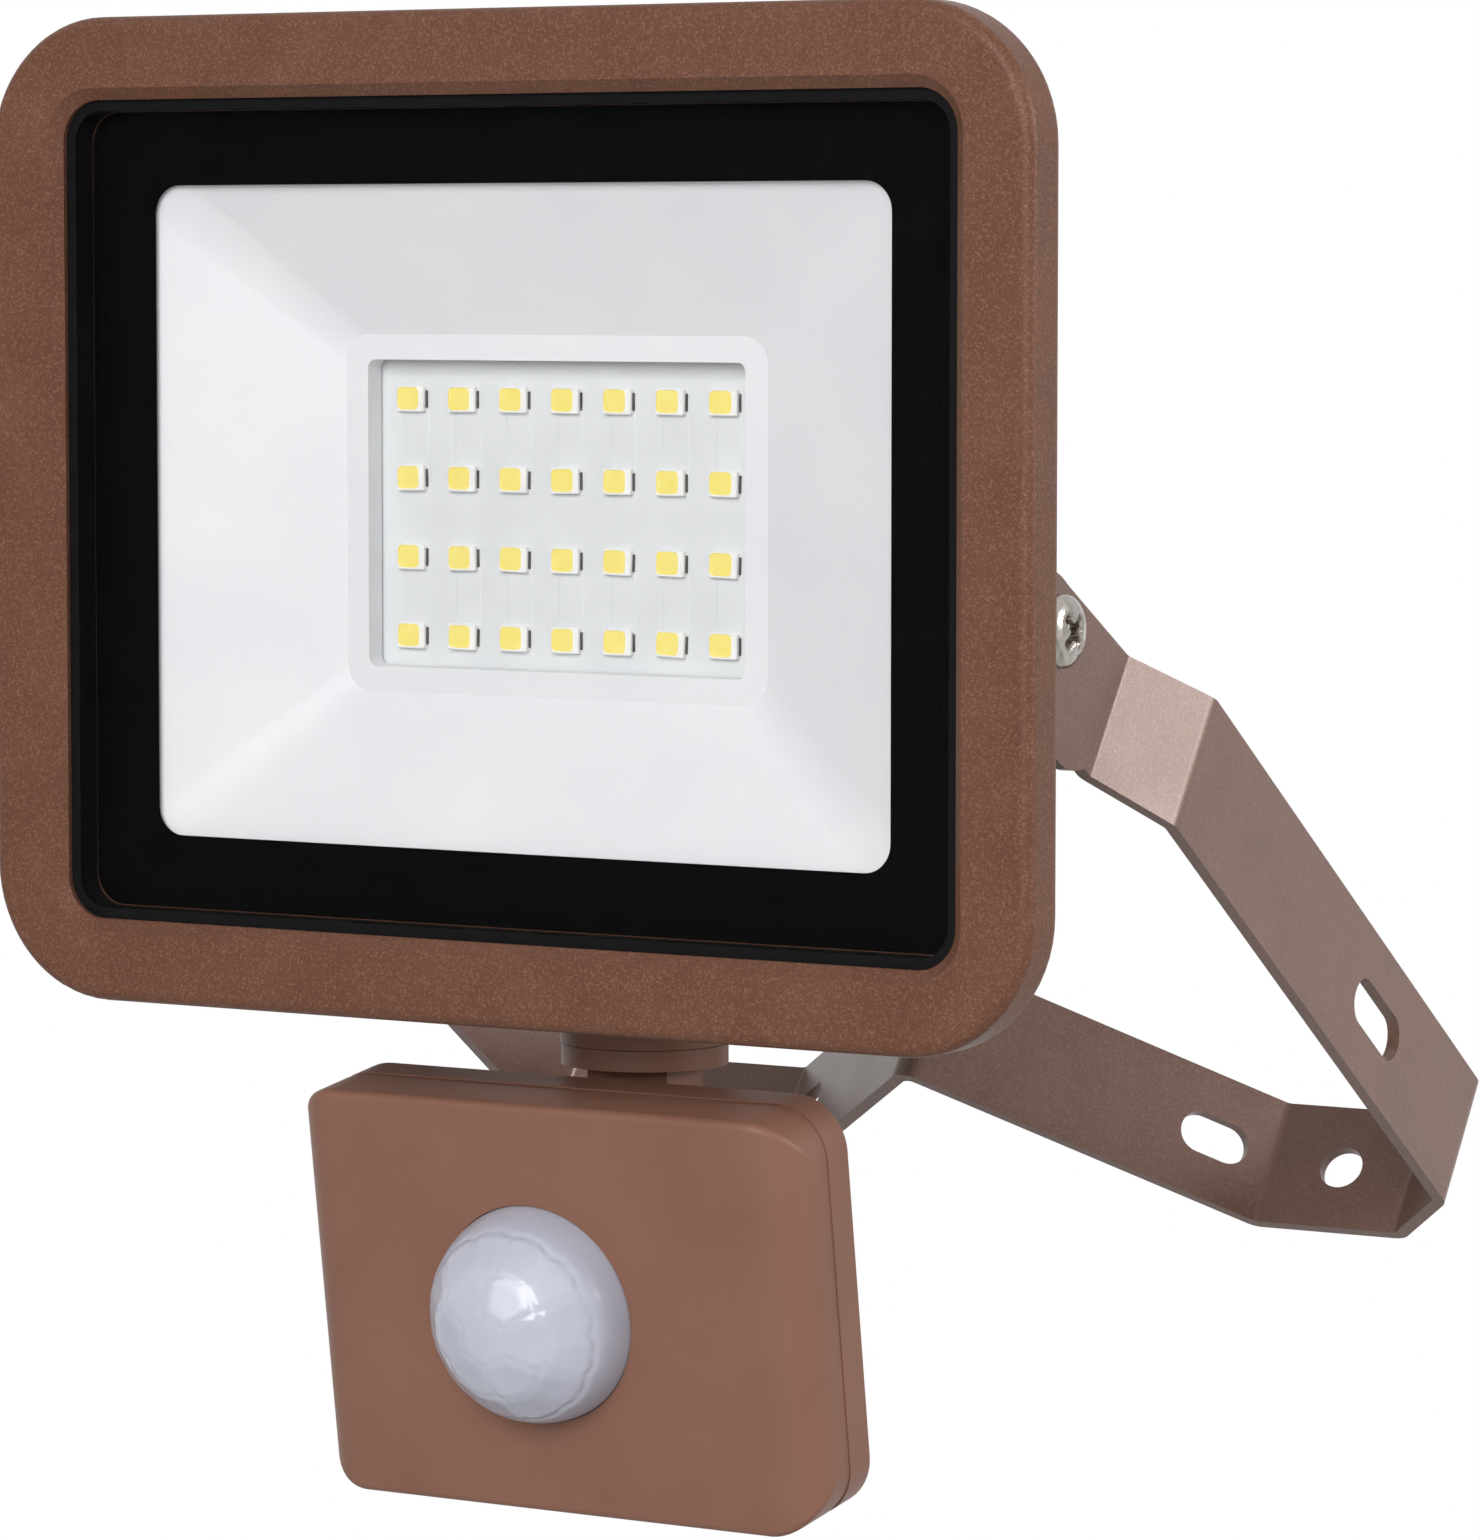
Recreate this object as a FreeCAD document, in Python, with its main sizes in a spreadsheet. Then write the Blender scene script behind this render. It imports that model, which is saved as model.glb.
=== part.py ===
# Motion sensor security light: a die-cast LED flood lamp on a bent strap bracket, with a swivelling
# sensor head below it. Millimetres and degrees, +Z up, the wall is the plane Y = 0 and the lamp
# stands in front of it at negative Y. The origin lies midway between the two round wall holes.
import FreeCAD, Part
import math
import os
import Sketcher
from types import SimpleNamespace

Vector = FreeCAD.Vector
doc = FreeCAD.newDocument("SecurityLight")

dimensions = {
    # how the parts stand at rest
    "pivot_reach": 122.5,
    "lamp_pitch": 35.2,
    "sensor_pan": 0.0,
    "sensor_tilt": 8.3,
    # lamp rim, glass and cavity; depths run back from the front of the rim
    "bezel_width": 132.0,
    "bezel_height": 109.0,
    "bezel_corner": 15.0,
    "rim_depth": 7.0,
    "rim_edge": 1.3,
    "rim_back_edge": 2.0,
    "opening_width": 113.2,
    "opening_height": 90.8,
    "opening_corner": 4.6,
    "bevel_width": 1.3,
    "glass_sink": 1.9,
    "glass_thickness": 3.2,
    "seal_width": 1.2,
    "ledge_width": 6.2,
    "cavity_corner": 4.0,
    # lamp body, its pivot and fins
    "body_width": 108.0,
    "body_height": 92.0,
    "body_depth": 26.0,
    "body_corner": 9.0,
    "pivot_depth": 22.6,
    "pivot_drop": 11.2,
    "pivot_boss": 14.0,
    "pivot_washer": 11.0,
    "washer_thickness": 1.0,
    "fin_count": 12,
    "fin_pitch": 8.0,
    "fin_thickness": 2.0,
    "fin_length": 42.0,
    "fin_rise": 22.0,
    "fin_depth": 8.0,
    # driver box on the back of the body
    "box_width": 86.0,
    "box_height": 46.0,
    "box_drop": 25.0,
    "box_depth": 44.0,
    "box_corner": 5.0,
    "box_wall": 2.5,
    "box_floor": 24.0,
    "cover_thickness": 2.5,
    "cover_seal_thickness": 1.0,
    "cover_screw_inset": 5.4,
    "post_diameter": 7.0,
    # reflector, LED board and LEDs
    "reflector_gap": 0.4,
    "reflector_wall": 1.2,
    "mouth_width": 97.6,
    "mouth_height": 75.8,
    "mouth_corner": 4.5,
    "lip_width": 54.0,
    "lip_height": 39.4,
    "lip_corner": 3.0,
    "lip_depth": 13.4,
    "window_width": 48.4,
    "window_height": 33.8,
    "window_corner": 1.0,
    "led_plane": 16.3,
    "board_width": 62.0,
    "board_height": 46.0,
    "board_thickness": 1.6,
    "pad_thickness": 0.5,
    "led_columns": 7,
    "led_rows": 4,
    "led_column_pitch": 6.7,
    "led_row_pitch": 8.7,
    "led_width": 3.5,
    "led_height": 2.8,
    "led_thickness": 0.8,
    "led_drop": 0.5,
    "board_screw_head": 4.4,
    "board_screw_rise": 1.2,
    "board_screw_shank": 2.5,
    "board_screw_length": 6.0,
    "board_screw_inset": 3.0,
    # driver electronics and mains inlet
    "driver_width": 66.0,
    "driver_height": 26.0,
    "driver_standoff": 4.0,
    "transformer_width": 16.0,
    "transformer_height": 14.0,
    "transformer_depth": 9.0,
    "transformer_offset": 14.0,
    "capacitor_diameter": 8.0,
    "capacitor_length": 9.0,
    "terminal_width": 15.0,
    "terminal_height": 9.0,
    "terminal_depth": 8.0,
    "terminal_offset": 18.4,
    "port_diameter": 2.8,
    "driver_screw_offset": 29.0,
    "gland_thread": 12.0,
    "gland_flange": 17.0,
    "gland_flange_thickness": 4.0,
    "gland_stem_length": 8.0,
    "gland_bore": 6.5,
    "gland_nut_length": 10.0,
    "gland_lock_thickness": 3.0,
    # neck between the lamp and the sensor
    "neck_depth": 32.2,
    "neck_boss": 23.0,
    "neck_boss_bottom": 50.0,
    "neck_boss_height": 6.0,
    "collar_diameter": 19.0,
    "collar_bottom": 59.1,
    "neck_seal_thickness": 0.8,
    "spigot_diameter": 13.0,
    "neck_nut_diameter": 16.0,
    "neck_nut_thickness": 3.0,
    "swivel_diameter": 18.7,
    "swivel_thickness": 2.3,
    "swivel_tube": 9.0,
    "swivel_bore": 6.0,
    "swivel_ring_diameter": 12.0,
    "swivel_ring_thickness": 1.2,
    "pin_drop": 71.6,
    "fork_width": 10.4,
    "fork_radius": 3.8,
    "tongue_width": 5.0,
    "pin_diameter": 3.0,
    "pin_head": 5.5,
    "pin_head_height": 2.0,
    # sensor head
    "sensor_width": 64.6,
    "sensor_height": 46.5,
    "sensor_depth": 12.8,
    "sensor_top": 11.2,
    "sensor_back": 9.75,
    "sensor_corner": 6.1,
    "sensor_edge": 6.0,
    "sensor_split": 6.8,
    "sensor_wall": 2.2,
    "sensor_shoulder": 1.6,
    "sensor_front_edge": 0.9,
    "parting_depth": 0.15,
    "parting_width": 1.4,
    "sensor_back_edge": 0.5,
    "lens_diameter": 24.4,
    "lens_height": 11.0,
    "lens_wall": 0.8,
    "lens_flange": 27.0,
    "lens_offset": -1.5,
    "lens_drop": 0.4,
    "case_post": 6.0,
    "case_screw_inset": 6.3,
    "case_screw_head": 4.6,
    "case_screw_rise": 1.6,
    "case_screw_shank": 2.4,
    "case_screw_length": 6.5,
    "sensor_board_width": 44.0,
    "sensor_board_height": 38.0,
    "sensor_board_depth": 8.4,
    "pir_diameter": 9.2,
    "pir_height": 4.2,
    "relay_width": 8.0,
    "relay_height": 15.0,
    "relay_depth": 5.0,
    "relay_offset": 17.2,
    "sensor_capacitor": 6.0,
    "dial_diameter": 5.6,
    "dial_spacing": 13.0,
    "dial_height": 3.5,
    "dial_sink": 0.4,
    "dial_drop": 19.5,
    "dial_shaft": 2.0,
    "dial_shaft_length": 2.6,
    "dial_slot": 1.0,
    "trimmer_width": 7.0,
    "hump_width": 42.0,
    "hump_height": 34.0,
    "hump_corner": 5.0,
    "hump_depth": 4.9,
    "hump_edge": 1.5,
    # strap bracket
    "strap_width": 16.2,
    "strap_thickness": 1.5,
    "ear_length": 16.2,
    "jog_length": 10.0,
    "jog_spread": 6.2,
    "leg_end": 10.9,
    "flat_width": 19.2,
    "flat_inner": 33.8,
    "peak_height": 34.0,
    "bend_radius": 1.2,
    "ear_width": 16.4,
    "ear_nose": 9.0,
    "ear_tail": 16.8,
    "ear_drop": 2.4,
    "ear_rise": 1.3,
    "wall_hole": 5.4,
    "wall_hole_spacing": 86.7,
    "corner_slot_length": 8.8,
    "corner_slot_width": 5.2,
    "corner_slot_offset": 28.0,
    "leg_slot_length": 13.6,
    "leg_slot_width": 5.4,
    "leg_slot_back": 40.0,
    "pivot_screw_shank": 4.0,
    "pivot_screw_head": 8.0,
    "pivot_screw_rise": 2.7,
    "pivot_screw_length": 12.0,
    "recess_width": 1.0,
    "recess_length": 4.0,
    "recess_depth": 1.4,
    # clearances
    "running_fit": 0.05,
    "moving_gap": 0.3,
    "thread_gap": 0.1,
}

sheet = doc.addObject("Spreadsheet::Sheet", "Sizes")
for row, (alias, number) in enumerate(dimensions.items(), start=1):
    sheet.set(f"A{row}", alias)
    sheet.set(f"B{row}", str(number))
    sheet.setAlias(f"B{row}", alias)
doc.recompute()


class Size:
    """A length with the sheet expression it comes from, so that one formula gives both."""

    def __init__(self, number, text):
        self.number = number
        self.text = text

    def __add__(self, other):
        other = as_size(other)
        return Size(self.number + other.number, f"({self.text} + {other.text})")

    def __sub__(self, other):
        other = as_size(other)
        return Size(self.number - other.number, f"({self.text} - {other.text})")

    def __mul__(self, factor):
        factor = as_size(factor)
        return Size(self.number * factor.number, f"({self.text} * {factor.text})")

    def __truediv__(self, factor):
        factor = as_size(factor)
        return Size(self.number / factor.number, f"({self.text} / {factor.text})")

    def __neg__(self):
        return Size(-self.number, f"(0 - {self.text})")

    def __radd__(self, other):
        return as_size(other) + self

    def __rsub__(self, other):
        return as_size(other) - self

    def __rmul__(self, other):
        return self * other


def as_size(value):
    return value if isinstance(value, Size) else Size(value, f"({value})")


mm = SimpleNamespace(**{name: Size(float(sheet.get(name)), f"Sizes.{name}") for name in dimensions})
count = SimpleNamespace(
    fins=int(sheet.get("fin_count")),
    columns=int(sheet.get("led_columns")),
    rows=int(sheet.get("led_rows")),
)

# ---- small tools ----------------------------------------------------------------------------
nodes = []
plane_of = {}
normal_sign = {"XY": 1, "XZ": -1, "YZ": 1}


def set_size(thing, prop, value):
    thing.setExpression(prop, as_size(value).text)


def new_body(label, placement):
    body = doc.addObject("PartDesign::Body", label)
    body.Label = label
    body.setExpression("Placement", placement)
    nodes.append(body)
    return body


def new_sketch(body, name, plane, x=0, y=0, z=0):
    """A sketch on one of the body's own planes, with its origin at x, y, z of the body."""
    sketch = body.newObject("Sketcher::SketchObject", f"{body.Name}_{name}")
    support = [f for f in body.Origin.OriginFeatures if f.Role == f"{plane}_Plane"][0]
    sketch.AttachmentSupport = (support, [""])
    sketch.MapMode = "FlatFace"
    y_back = -as_size(y)
    offsets = {"XY": (x, y, z), "XZ": (x, z, y_back), "YZ": (y, z, x)}[plane]
    for axis, offset in zip("xyz", offsets):
        set_size(sketch, f"AttachmentOffset.Base.{axis}", offset)
    plane_of[sketch.Name] = plane
    return sketch


def constrain(sketch, kind, value, *where):
    value = as_size(value)
    index = sketch.addConstraint(Sketcher.Constraint(kind, *where, value.number))
    sketch.setExpression(f"Constraints[{index}]", value.text)


def join_ends(sketch, first, total):
    for i in range(total):
        after = first + (i + 1) % total
        sketch.addConstraint(Sketcher.Constraint("Coincident", first + i, 2, after, 1))


def draw_polygon(sketch, points):
    """A closed outline of straight edges, each corner placed from the sketch's origin."""
    first = sketch.GeometryCount
    corners = [Vector(as_size(x).number, as_size(y).number, 0) for x, y in points]
    total = len(corners)
    for i in range(total):
        sketch.addGeometry(Part.LineSegment(corners[i], corners[(i + 1) % total]), False)
    join_ends(sketch, first, total)
    for i, (x, y) in enumerate(points):
        constrain(sketch, "DistanceX", x, -1, 1, first + i, 1)
        constrain(sketch, "DistanceY", y, -1, 1, first + i, 1)


def draw_rectangle(sketch, width, height, x=0, y=0):
    width, height, x, y = as_size(width), as_size(height), as_size(x), as_size(y)
    left, right = x - width / 2, x + width / 2
    low, high = y - height / 2, y + height / 2
    draw_polygon(sketch, [(left, low), (right, low), (right, high), (left, high)])


def draw_circle(sketch, diameter, x=0, y=0):
    index = sketch.GeometryCount
    centre = Vector(as_size(x).number, as_size(y).number, 0)
    sketch.addGeometry(Part.Circle(centre, Vector(0, 0, 1), diameter.number / 2), False)
    constrain(sketch, "Diameter", diameter, index)
    constrain(sketch, "DistanceX", x, -1, 1, index, 3)
    constrain(sketch, "DistanceY", y, -1, 1, index, 3)


def draw_circles(sketch, diameter, points):
    for x, y in points:
        draw_circle(sketch, diameter, x, y)


def draw_rounded(sketch, width, height, radius):
    """A rectangle with round corners about the sketch's origin."""
    first = sketch.GeometryCount
    a, b, r = width.number / 2, height.number / 2, radius.number
    quarter = math.pi / 2
    corners = [(a - r, b - r, 0), (a - r, r - b, 3), (r - a, r - b, 2), (r - a, b - r, 1)]
    ends = [
        [(r - a, b), (a - r, b)],
        [(a, b - r), (a, r - b)],
        [(a - r, -b), (r - a, -b)],
        [(-a, r - b), (-a, b - r)],
    ]
    for line, (cx, cy, turn) in zip(ends, corners):
        start, stop = (Vector(x, y, 0) for x, y in line)
        circle = Part.Circle(Vector(cx, cy, 0), Vector(0, 0, 1), r)
        sketch.addGeometry(Part.LineSegment(start, stop), False)
        sketch.addGeometry(Part.ArcOfCircle(circle, turn * quarter, (turn + 1) * quarter), False)
    for i in range(4):
        line, arc, after = first + 2 * i, first + 2 * i + 1, first + (2 * i + 2) % 8
        sketch.addConstraint(Sketcher.Constraint("Tangent", line, 2, arc, 2))
        sketch.addConstraint(Sketcher.Constraint("Tangent", arc, 1, after, 1))
        sketch.addConstraint(Sketcher.Constraint("Vertical" if i % 2 else "Horizontal", line))
    for i in range(3):
        sketch.addConstraint(Sketcher.Constraint("Equal", first + 2 * i + 1, first + 2 * i + 3))
    constrain(sketch, "Radius", radius, first + 1)
    constrain(sketch, "DistanceX", width / 2, -1, 1, first + 2, 1)
    constrain(sketch, "DistanceX", width / 2, first + 6, 1, -1, 1)
    constrain(sketch, "DistanceY", height / 2, -1, 1, first, 1)
    constrain(sketch, "DistanceY", height / 2, first + 4, 1, -1, 1)


def draw_slot(sketch, length, width):
    """A long outline along the sketch's X, with round ends, about the sketch's origin."""
    first = sketch.GeometryCount
    reach, r = (length.number - width.number) / 2, width.number / 2
    up = Vector(0, 0, 1)
    sketch.addGeometry(Part.LineSegment(Vector(-reach, r, 0), Vector(reach, r, 0)), False)
    right = Part.Circle(Vector(reach, 0, 0), up, r)
    sketch.addGeometry(Part.ArcOfCircle(right, -math.pi / 2, math.pi / 2), False)
    sketch.addGeometry(Part.LineSegment(Vector(reach, -r, 0), Vector(-reach, -r, 0)), False)
    left = Part.Circle(Vector(-reach, 0, 0), up, r)
    sketch.addGeometry(Part.ArcOfCircle(left, math.pi / 2, 3 * math.pi / 2), False)
    for line, arc, after in ((0, 1, 2), (2, 3, 0)):
        sketch.addConstraint(Sketcher.Constraint("Tangent", first + line, 2, first + arc, 2))
        sketch.addConstraint(Sketcher.Constraint("Tangent", first + arc, 1, first + after, 1))
    for arc, side in ((1, 1), (3, -1)):
        constrain(sketch, "DistanceX", (length - width) / 2 * side, -1, 1, first + arc, 3)
        constrain(sketch, "DistanceY", 0, -1, 1, first + arc, 3)
    constrain(sketch, "Radius", width / 2, first + 1)


def extrude(body, kind, name, sketch, length, way):
    """Way is +1 or -1 along the body's axis that is square to the sketch, or 0 for both ways."""
    feature = body.newObject(f"PartDesign::{kind}", f"{body.Name}_{name}")
    feature.Profile = (sketch, [""])
    set_size(feature, "Length", length)
    if way == 0:
        feature.SideType = "Symmetric"
    else:
        along = normal_sign[plane_of[sketch.Name]] * way > 0
        feature.Reversed = not along if kind == "Pad" else along
    body.Tip = feature
    doc.recompute()
    return feature


def pad(body, name, sketch, length, way=1):
    before = volume(body)
    feature = extrude(body, "Pad", name, sketch, length, way)
    if not volume(body) > before:
        raise RuntimeError(f"{feature.Name} adds nothing")
    return feature


def pocket(body, name, sketch, length, way=1):
    before = volume(body)
    feature = extrude(body, "Pocket", name, sketch, length, way)
    if not volume(body) < before:
        raise RuntimeError(f"{feature.Name} cuts nothing")
    return feature


def volume(body):
    return body.Shape.Volume if body.Tip and not body.Shape.isNull() else 0.0


def dress(body, kind, name, base, chosen, prop, size):
    """A fillet or chamfer on the edges of the base feature that the chooser accepts."""
    edges = [f"Edge{i}" for i, edge in enumerate(base.Shape.Edges, start=1) if chosen(edge)]
    if not edges:
        raise RuntimeError(f"{body.Name}_{name} finds no edges")
    feature = body.newObject(f"PartDesign::{kind}", f"{body.Name}_{name}")
    feature.Base = (base, edges)
    set_size(feature, prop, size)
    body.Tip = feature
    doc.recompute()
    return feature


def fillet(body, name, base, chosen, radius):
    return dress(body, "Fillet", name, base, chosen, "Radius", radius)


def chamfer(body, name, base, chosen, size):
    return dress(body, "Chamfer", name, base, chosen, "Size", size)


def near(a, b):
    return abs(a - b) < 1e-4


def lies_at(edge, axis, value):
    """Whether the whole edge lies in the plane where that coordinate has the value."""
    low = getattr(edge.BoundBox, f"{axis}Min")
    high = getattr(edge.BoundBox, f"{axis}Max")
    return near(low, value.number) and near(high, value.number)


def plain_block(body, name, width, height, depth, x, y, z):
    """A block of that width (X) and height (Z), from depth y back, centred on x and z."""
    sketch = new_sketch(body, f"{name}_outline", "XZ", x, y, z)
    draw_rectangle(sketch, width, height)
    return pad(body, name, sketch, depth)


def rounded_plate(body, name, width, height, corner, thickness, y, z, way=1):
    sketch = new_sketch(body, f"{name}_outline", "XZ", 0, y, z)
    draw_rounded(sketch, width, height, corner)
    return pad(body, name, sketch, thickness, way)


def rounded_pocket(body, name, width, height, corner, depth, y, z, way=1):
    sketch = new_sketch(body, f"{name}_outline", "XZ", 0, y, z)
    draw_rounded(sketch, width, height, corner)
    return pocket(body, name, sketch, depth, way)


def round_holes(body, name, diameter, points, depth, y, z, way=1):
    sketch = new_sketch(body, f"{name}_circles", "XZ", 0, y, z)
    draw_circles(sketch, diameter, points)
    return pocket(body, name, sketch, depth, way)


def round_rods(body, name, diameter, points, length, y, z, way=1):
    sketch = new_sketch(body, f"{name}_circles", "XZ", 0, y, z)
    draw_circles(sketch, diameter, points)
    return pad(body, name, sketch, length, way)


def cross_recesses(body, points, depth, y, z, way):
    """Cross recesses for a screwdriver, cut as two bars."""
    for name, width, height in (
        ("bar_across", mm.recess_length, mm.recess_width),
        ("bar_upright", mm.recess_width, mm.recess_length),
    ):
        sketch = new_sketch(body, f"{name}_outline", "XZ", 0, y, z)
        for px, pz in points:
            draw_rectangle(sketch, width * 0.6, height * 0.6, px, pz)
        pocket(body, name, sketch, depth, way)


def corners_of(half_width, half_height):
    """The four corners of a rectangle about the origin."""
    return [(half_width * i, half_height * j) for i in (-1, 1) for j in (-1, 1)]


# ---- where the moving groups stand ----------------------------------------------------------
def frame(base, axis, angle):
    x, y, z = (as_size(value).text for value in base)
    return f"placement(vector({x}; {y}; {z}); rotation(vector({axis}); {as_size(angle).text}))"


neck_y = mm.neck_depth - mm.pivot_depth
pin_z = mm.pivot_drop - mm.pin_drop
at_wall = frame((0, 0, 0), "1; 0; 0", 0)
at_lamp = frame((0, -mm.pivot_reach, 0), "1; 0; 0", mm.lamp_pitch)
at_swivel = f"{at_lamp} * {frame((0, neck_y, pin_z), '0; 0; 1', mm.sensor_pan)}"
at_sensor = f"{at_swivel} * {frame((0, 0, 0), '1; 0; 0', mm.sensor_tilt)}"

# ---- heights and depths shared by the lamp's pieces, from its pivot axis ---------------------
front = -mm.pivot_depth
centre_z = mm.pivot_drop
glass_front = front + mm.glass_sink
glass_back = glass_front + mm.glass_thickness
led_front = front + mm.led_plane
board_back = led_front + mm.board_thickness
cavity_back = board_back + mm.pad_thickness
body_back = front + mm.body_depth
box_back = front + mm.box_depth
box_z = mm.pivot_drop - mm.box_drop
box_inside = front + mm.box_floor
cover_front = box_back + mm.cover_seal_thickness
cover_back = cover_front + mm.cover_thickness
cavity_width = mm.opening_width - mm.ledge_width * 2
cavity_height = mm.opening_height - mm.ledge_width * 2
glass_width = mm.opening_width - mm.seal_width * 2
glass_height = mm.opening_height - mm.seal_width * 2
glass_corner = mm.opening_corner - mm.seal_width
boss_bottom = centre_z - mm.neck_boss_bottom
boss_top = boss_bottom + mm.neck_boss_height
collar_top = boss_bottom - mm.neck_seal_thickness
collar_bottom = centre_z - mm.collar_bottom
spigot_top = boss_top + mm.neck_nut_thickness + mm.moving_gap
ear_inner = mm.body_width / 2 + mm.washer_thickness
ear_outer = ear_inner + mm.strap_thickness
cover_points = corners_of(
    mm.box_width / 2 - mm.cover_screw_inset,
    mm.box_height / 2 - mm.cover_screw_inset,
)
board_points = corners_of(
    mm.board_width / 2 - mm.board_screw_inset,
    mm.board_height / 2 - mm.board_screw_inset,
)
driver_points = [(mm.driver_screw_offset * side, 0) for side in (-1, 1)]
driver_front = box_inside + mm.driver_standoff
driver_back = driver_front + mm.board_thickness


def make_housing():
    """Die-cast aluminium: rim, body, fins, driver box, pivot bosses and neck boss in one."""
    body = new_body("housing", at_lamp)
    rim = rounded_plate(
        body, "rim", mm.bezel_width, mm.bezel_height, mm.bezel_corner, mm.rim_depth, front, centre_z
    )
    rim = fillet(body, "rim_front", rim, lambda e: lies_at(e, "Y", front), mm.rim_edge)
    back = front + mm.rim_depth
    fillet(body, "rim_back", rim, lambda e: lies_at(e, "Y", back), mm.rim_back_edge)
    rounded_plate(
        body, "shell", mm.body_width, mm.body_height, mm.body_corner,
        mm.body_depth - mm.rim_depth, back, centre_z,
    )
    rounded_plate(
        body, "box", mm.box_width, mm.box_height, mm.box_corner,
        mm.box_depth - mm.body_depth, body_back, box_z,
    )
    first_x = mm.fin_pitch * (1 - count.fins) / 2
    fin_sketch = new_sketch(body, "fin_outline", "XZ", first_x, body_back, centre_z + mm.fin_rise)
    draw_rectangle(fin_sketch, mm.fin_thickness, mm.fin_length)
    fin = pad(body, "fin", fin_sketch, mm.fin_depth)
    fins = body.newObject("PartDesign::LinearPattern", "housing_fins")
    fins.Originals = [fin]
    fins.Direction = (fin_sketch, ["H_Axis"])
    set_size(fins, "Length", mm.fin_pitch * (count.fins - 1))
    fins.Occurrences = count.fins
    body.Tip = fins
    bosses = new_sketch(body, "pivot_boss_circle", "YZ")
    draw_circle(bosses, mm.pivot_boss)
    pad(body, "pivot_bosses", bosses, mm.body_width, 0)
    neck = new_sketch(body, "neck_boss_circle", "XY", 0, neck_y, boss_bottom)
    draw_circle(neck, mm.neck_boss)
    pad(body, "neck_boss", neck, mm.neck_boss_height)
    opening = rounded_pocket(
        body, "opening", mm.opening_width, mm.opening_height, mm.opening_corner,
        mm.glass_sink + mm.glass_thickness, front, centre_z,
    )
    inside = mm.opening_width.number / 2 + 0.01
    chamfer(
        body, "bevel", opening,
        lambda e: lies_at(e, "Y", front) and max(abs(e.BoundBox.XMin), e.BoundBox.XMax) < inside,
        mm.bevel_width,
    )
    rounded_pocket(
        body, "cavity", cavity_width, cavity_height, mm.cavity_corner,
        cavity_back - glass_back, glass_back, centre_z,
    )
    rounded_pocket(
        body, "box_cavity", mm.box_width - mm.box_wall * 2, mm.box_height - mm.box_wall * 2,
        mm.box_corner - mm.box_wall, box_back - box_inside, box_back, box_z, -1,
    )
    depth = box_back - box_inside
    round_rods(body, "cover_posts", mm.post_diameter, cover_points, depth, box_inside, box_z)
    hole = mm.case_screw_shank + mm.thread_gap
    deep = mm.cover_screw_inset * 2
    round_holes(body, "cover_holes", hole, cover_points, deep, box_back, box_z, -1)
    round_rods(
        body, "driver_posts", mm.post_diameter, driver_points, mm.driver_standoff, box_inside, box_z
    )
    deep = mm.driver_standoff
    round_holes(body, "driver_holes", hole, driver_points, deep, driver_front, box_z, -1)
    board_hole = mm.board_screw_shank + mm.thread_gap
    round_holes(
        body, "board_holes", board_hole, board_points, mm.board_screw_length, cavity_back, centre_z
    )
    round_holes(
        body, "wire_hole", mm.swivel_bore, [(0, box_z - centre_z)], box_inside - cavity_back,
        cavity_back, centre_z,
    )
    bore = new_sketch(body, "neck_bore_circle", "XY", 0, neck_y, boss_bottom)
    draw_circle(bore, mm.spigot_diameter + mm.thread_gap)
    pocket(body, "neck_bore", bore, mm.neck_boss_height)
    for side, name in ((-1, "left"), (1, "right")):
        thread = new_sketch(body, f"{name}_thread_circle", "YZ", mm.body_width / 2 * side)
        draw_circle(thread, mm.pivot_screw_shank + mm.thread_gap)
        pocket(body, f"{name}_thread", thread, mm.pivot_screw_length, -side)


def make_glass():
    """The clear pane and the silicone bead that holds it in the rim."""
    body = new_body("front_glass", at_lamp)
    rounded_plate(
        body, "pane", glass_width, glass_height, glass_corner,
        mm.glass_thickness, glass_front, centre_z,
    )
    body = new_body("glass_seal", at_lamp)
    ring = new_sketch(body, "bead_outline", "XZ", 0, glass_front, centre_z)
    draw_rounded(ring, mm.opening_width, mm.opening_height, mm.opening_corner)
    draw_rounded(ring, glass_width, glass_height, glass_corner)
    pad(body, "bead", ring, mm.glass_thickness)


def loft(body, kind, name, sections):
    """A loft through rounded rectangles, each given as width, height, corner and depth."""
    sketches = []
    for i, (width, height, corner, y) in enumerate(sections):
        sketch = new_sketch(body, f"{name}_section_{i}", "XZ", 0, y, centre_z)
        draw_rounded(sketch, width, height, corner)
        sketches.append(sketch)
    before = volume(body)
    feature = body.newObject(f"PartDesign::{kind}", f"{body.Name}_{name}")
    feature.Profile = (sketches[0], [""])
    feature.Sections = [(sketch, [""]) for sketch in sketches[1:]]
    feature.Ruled = True
    body.Tip = feature
    doc.recompute()
    if near(volume(body), before):
        raise RuntimeError(f"{feature.Name} changes nothing")


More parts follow.
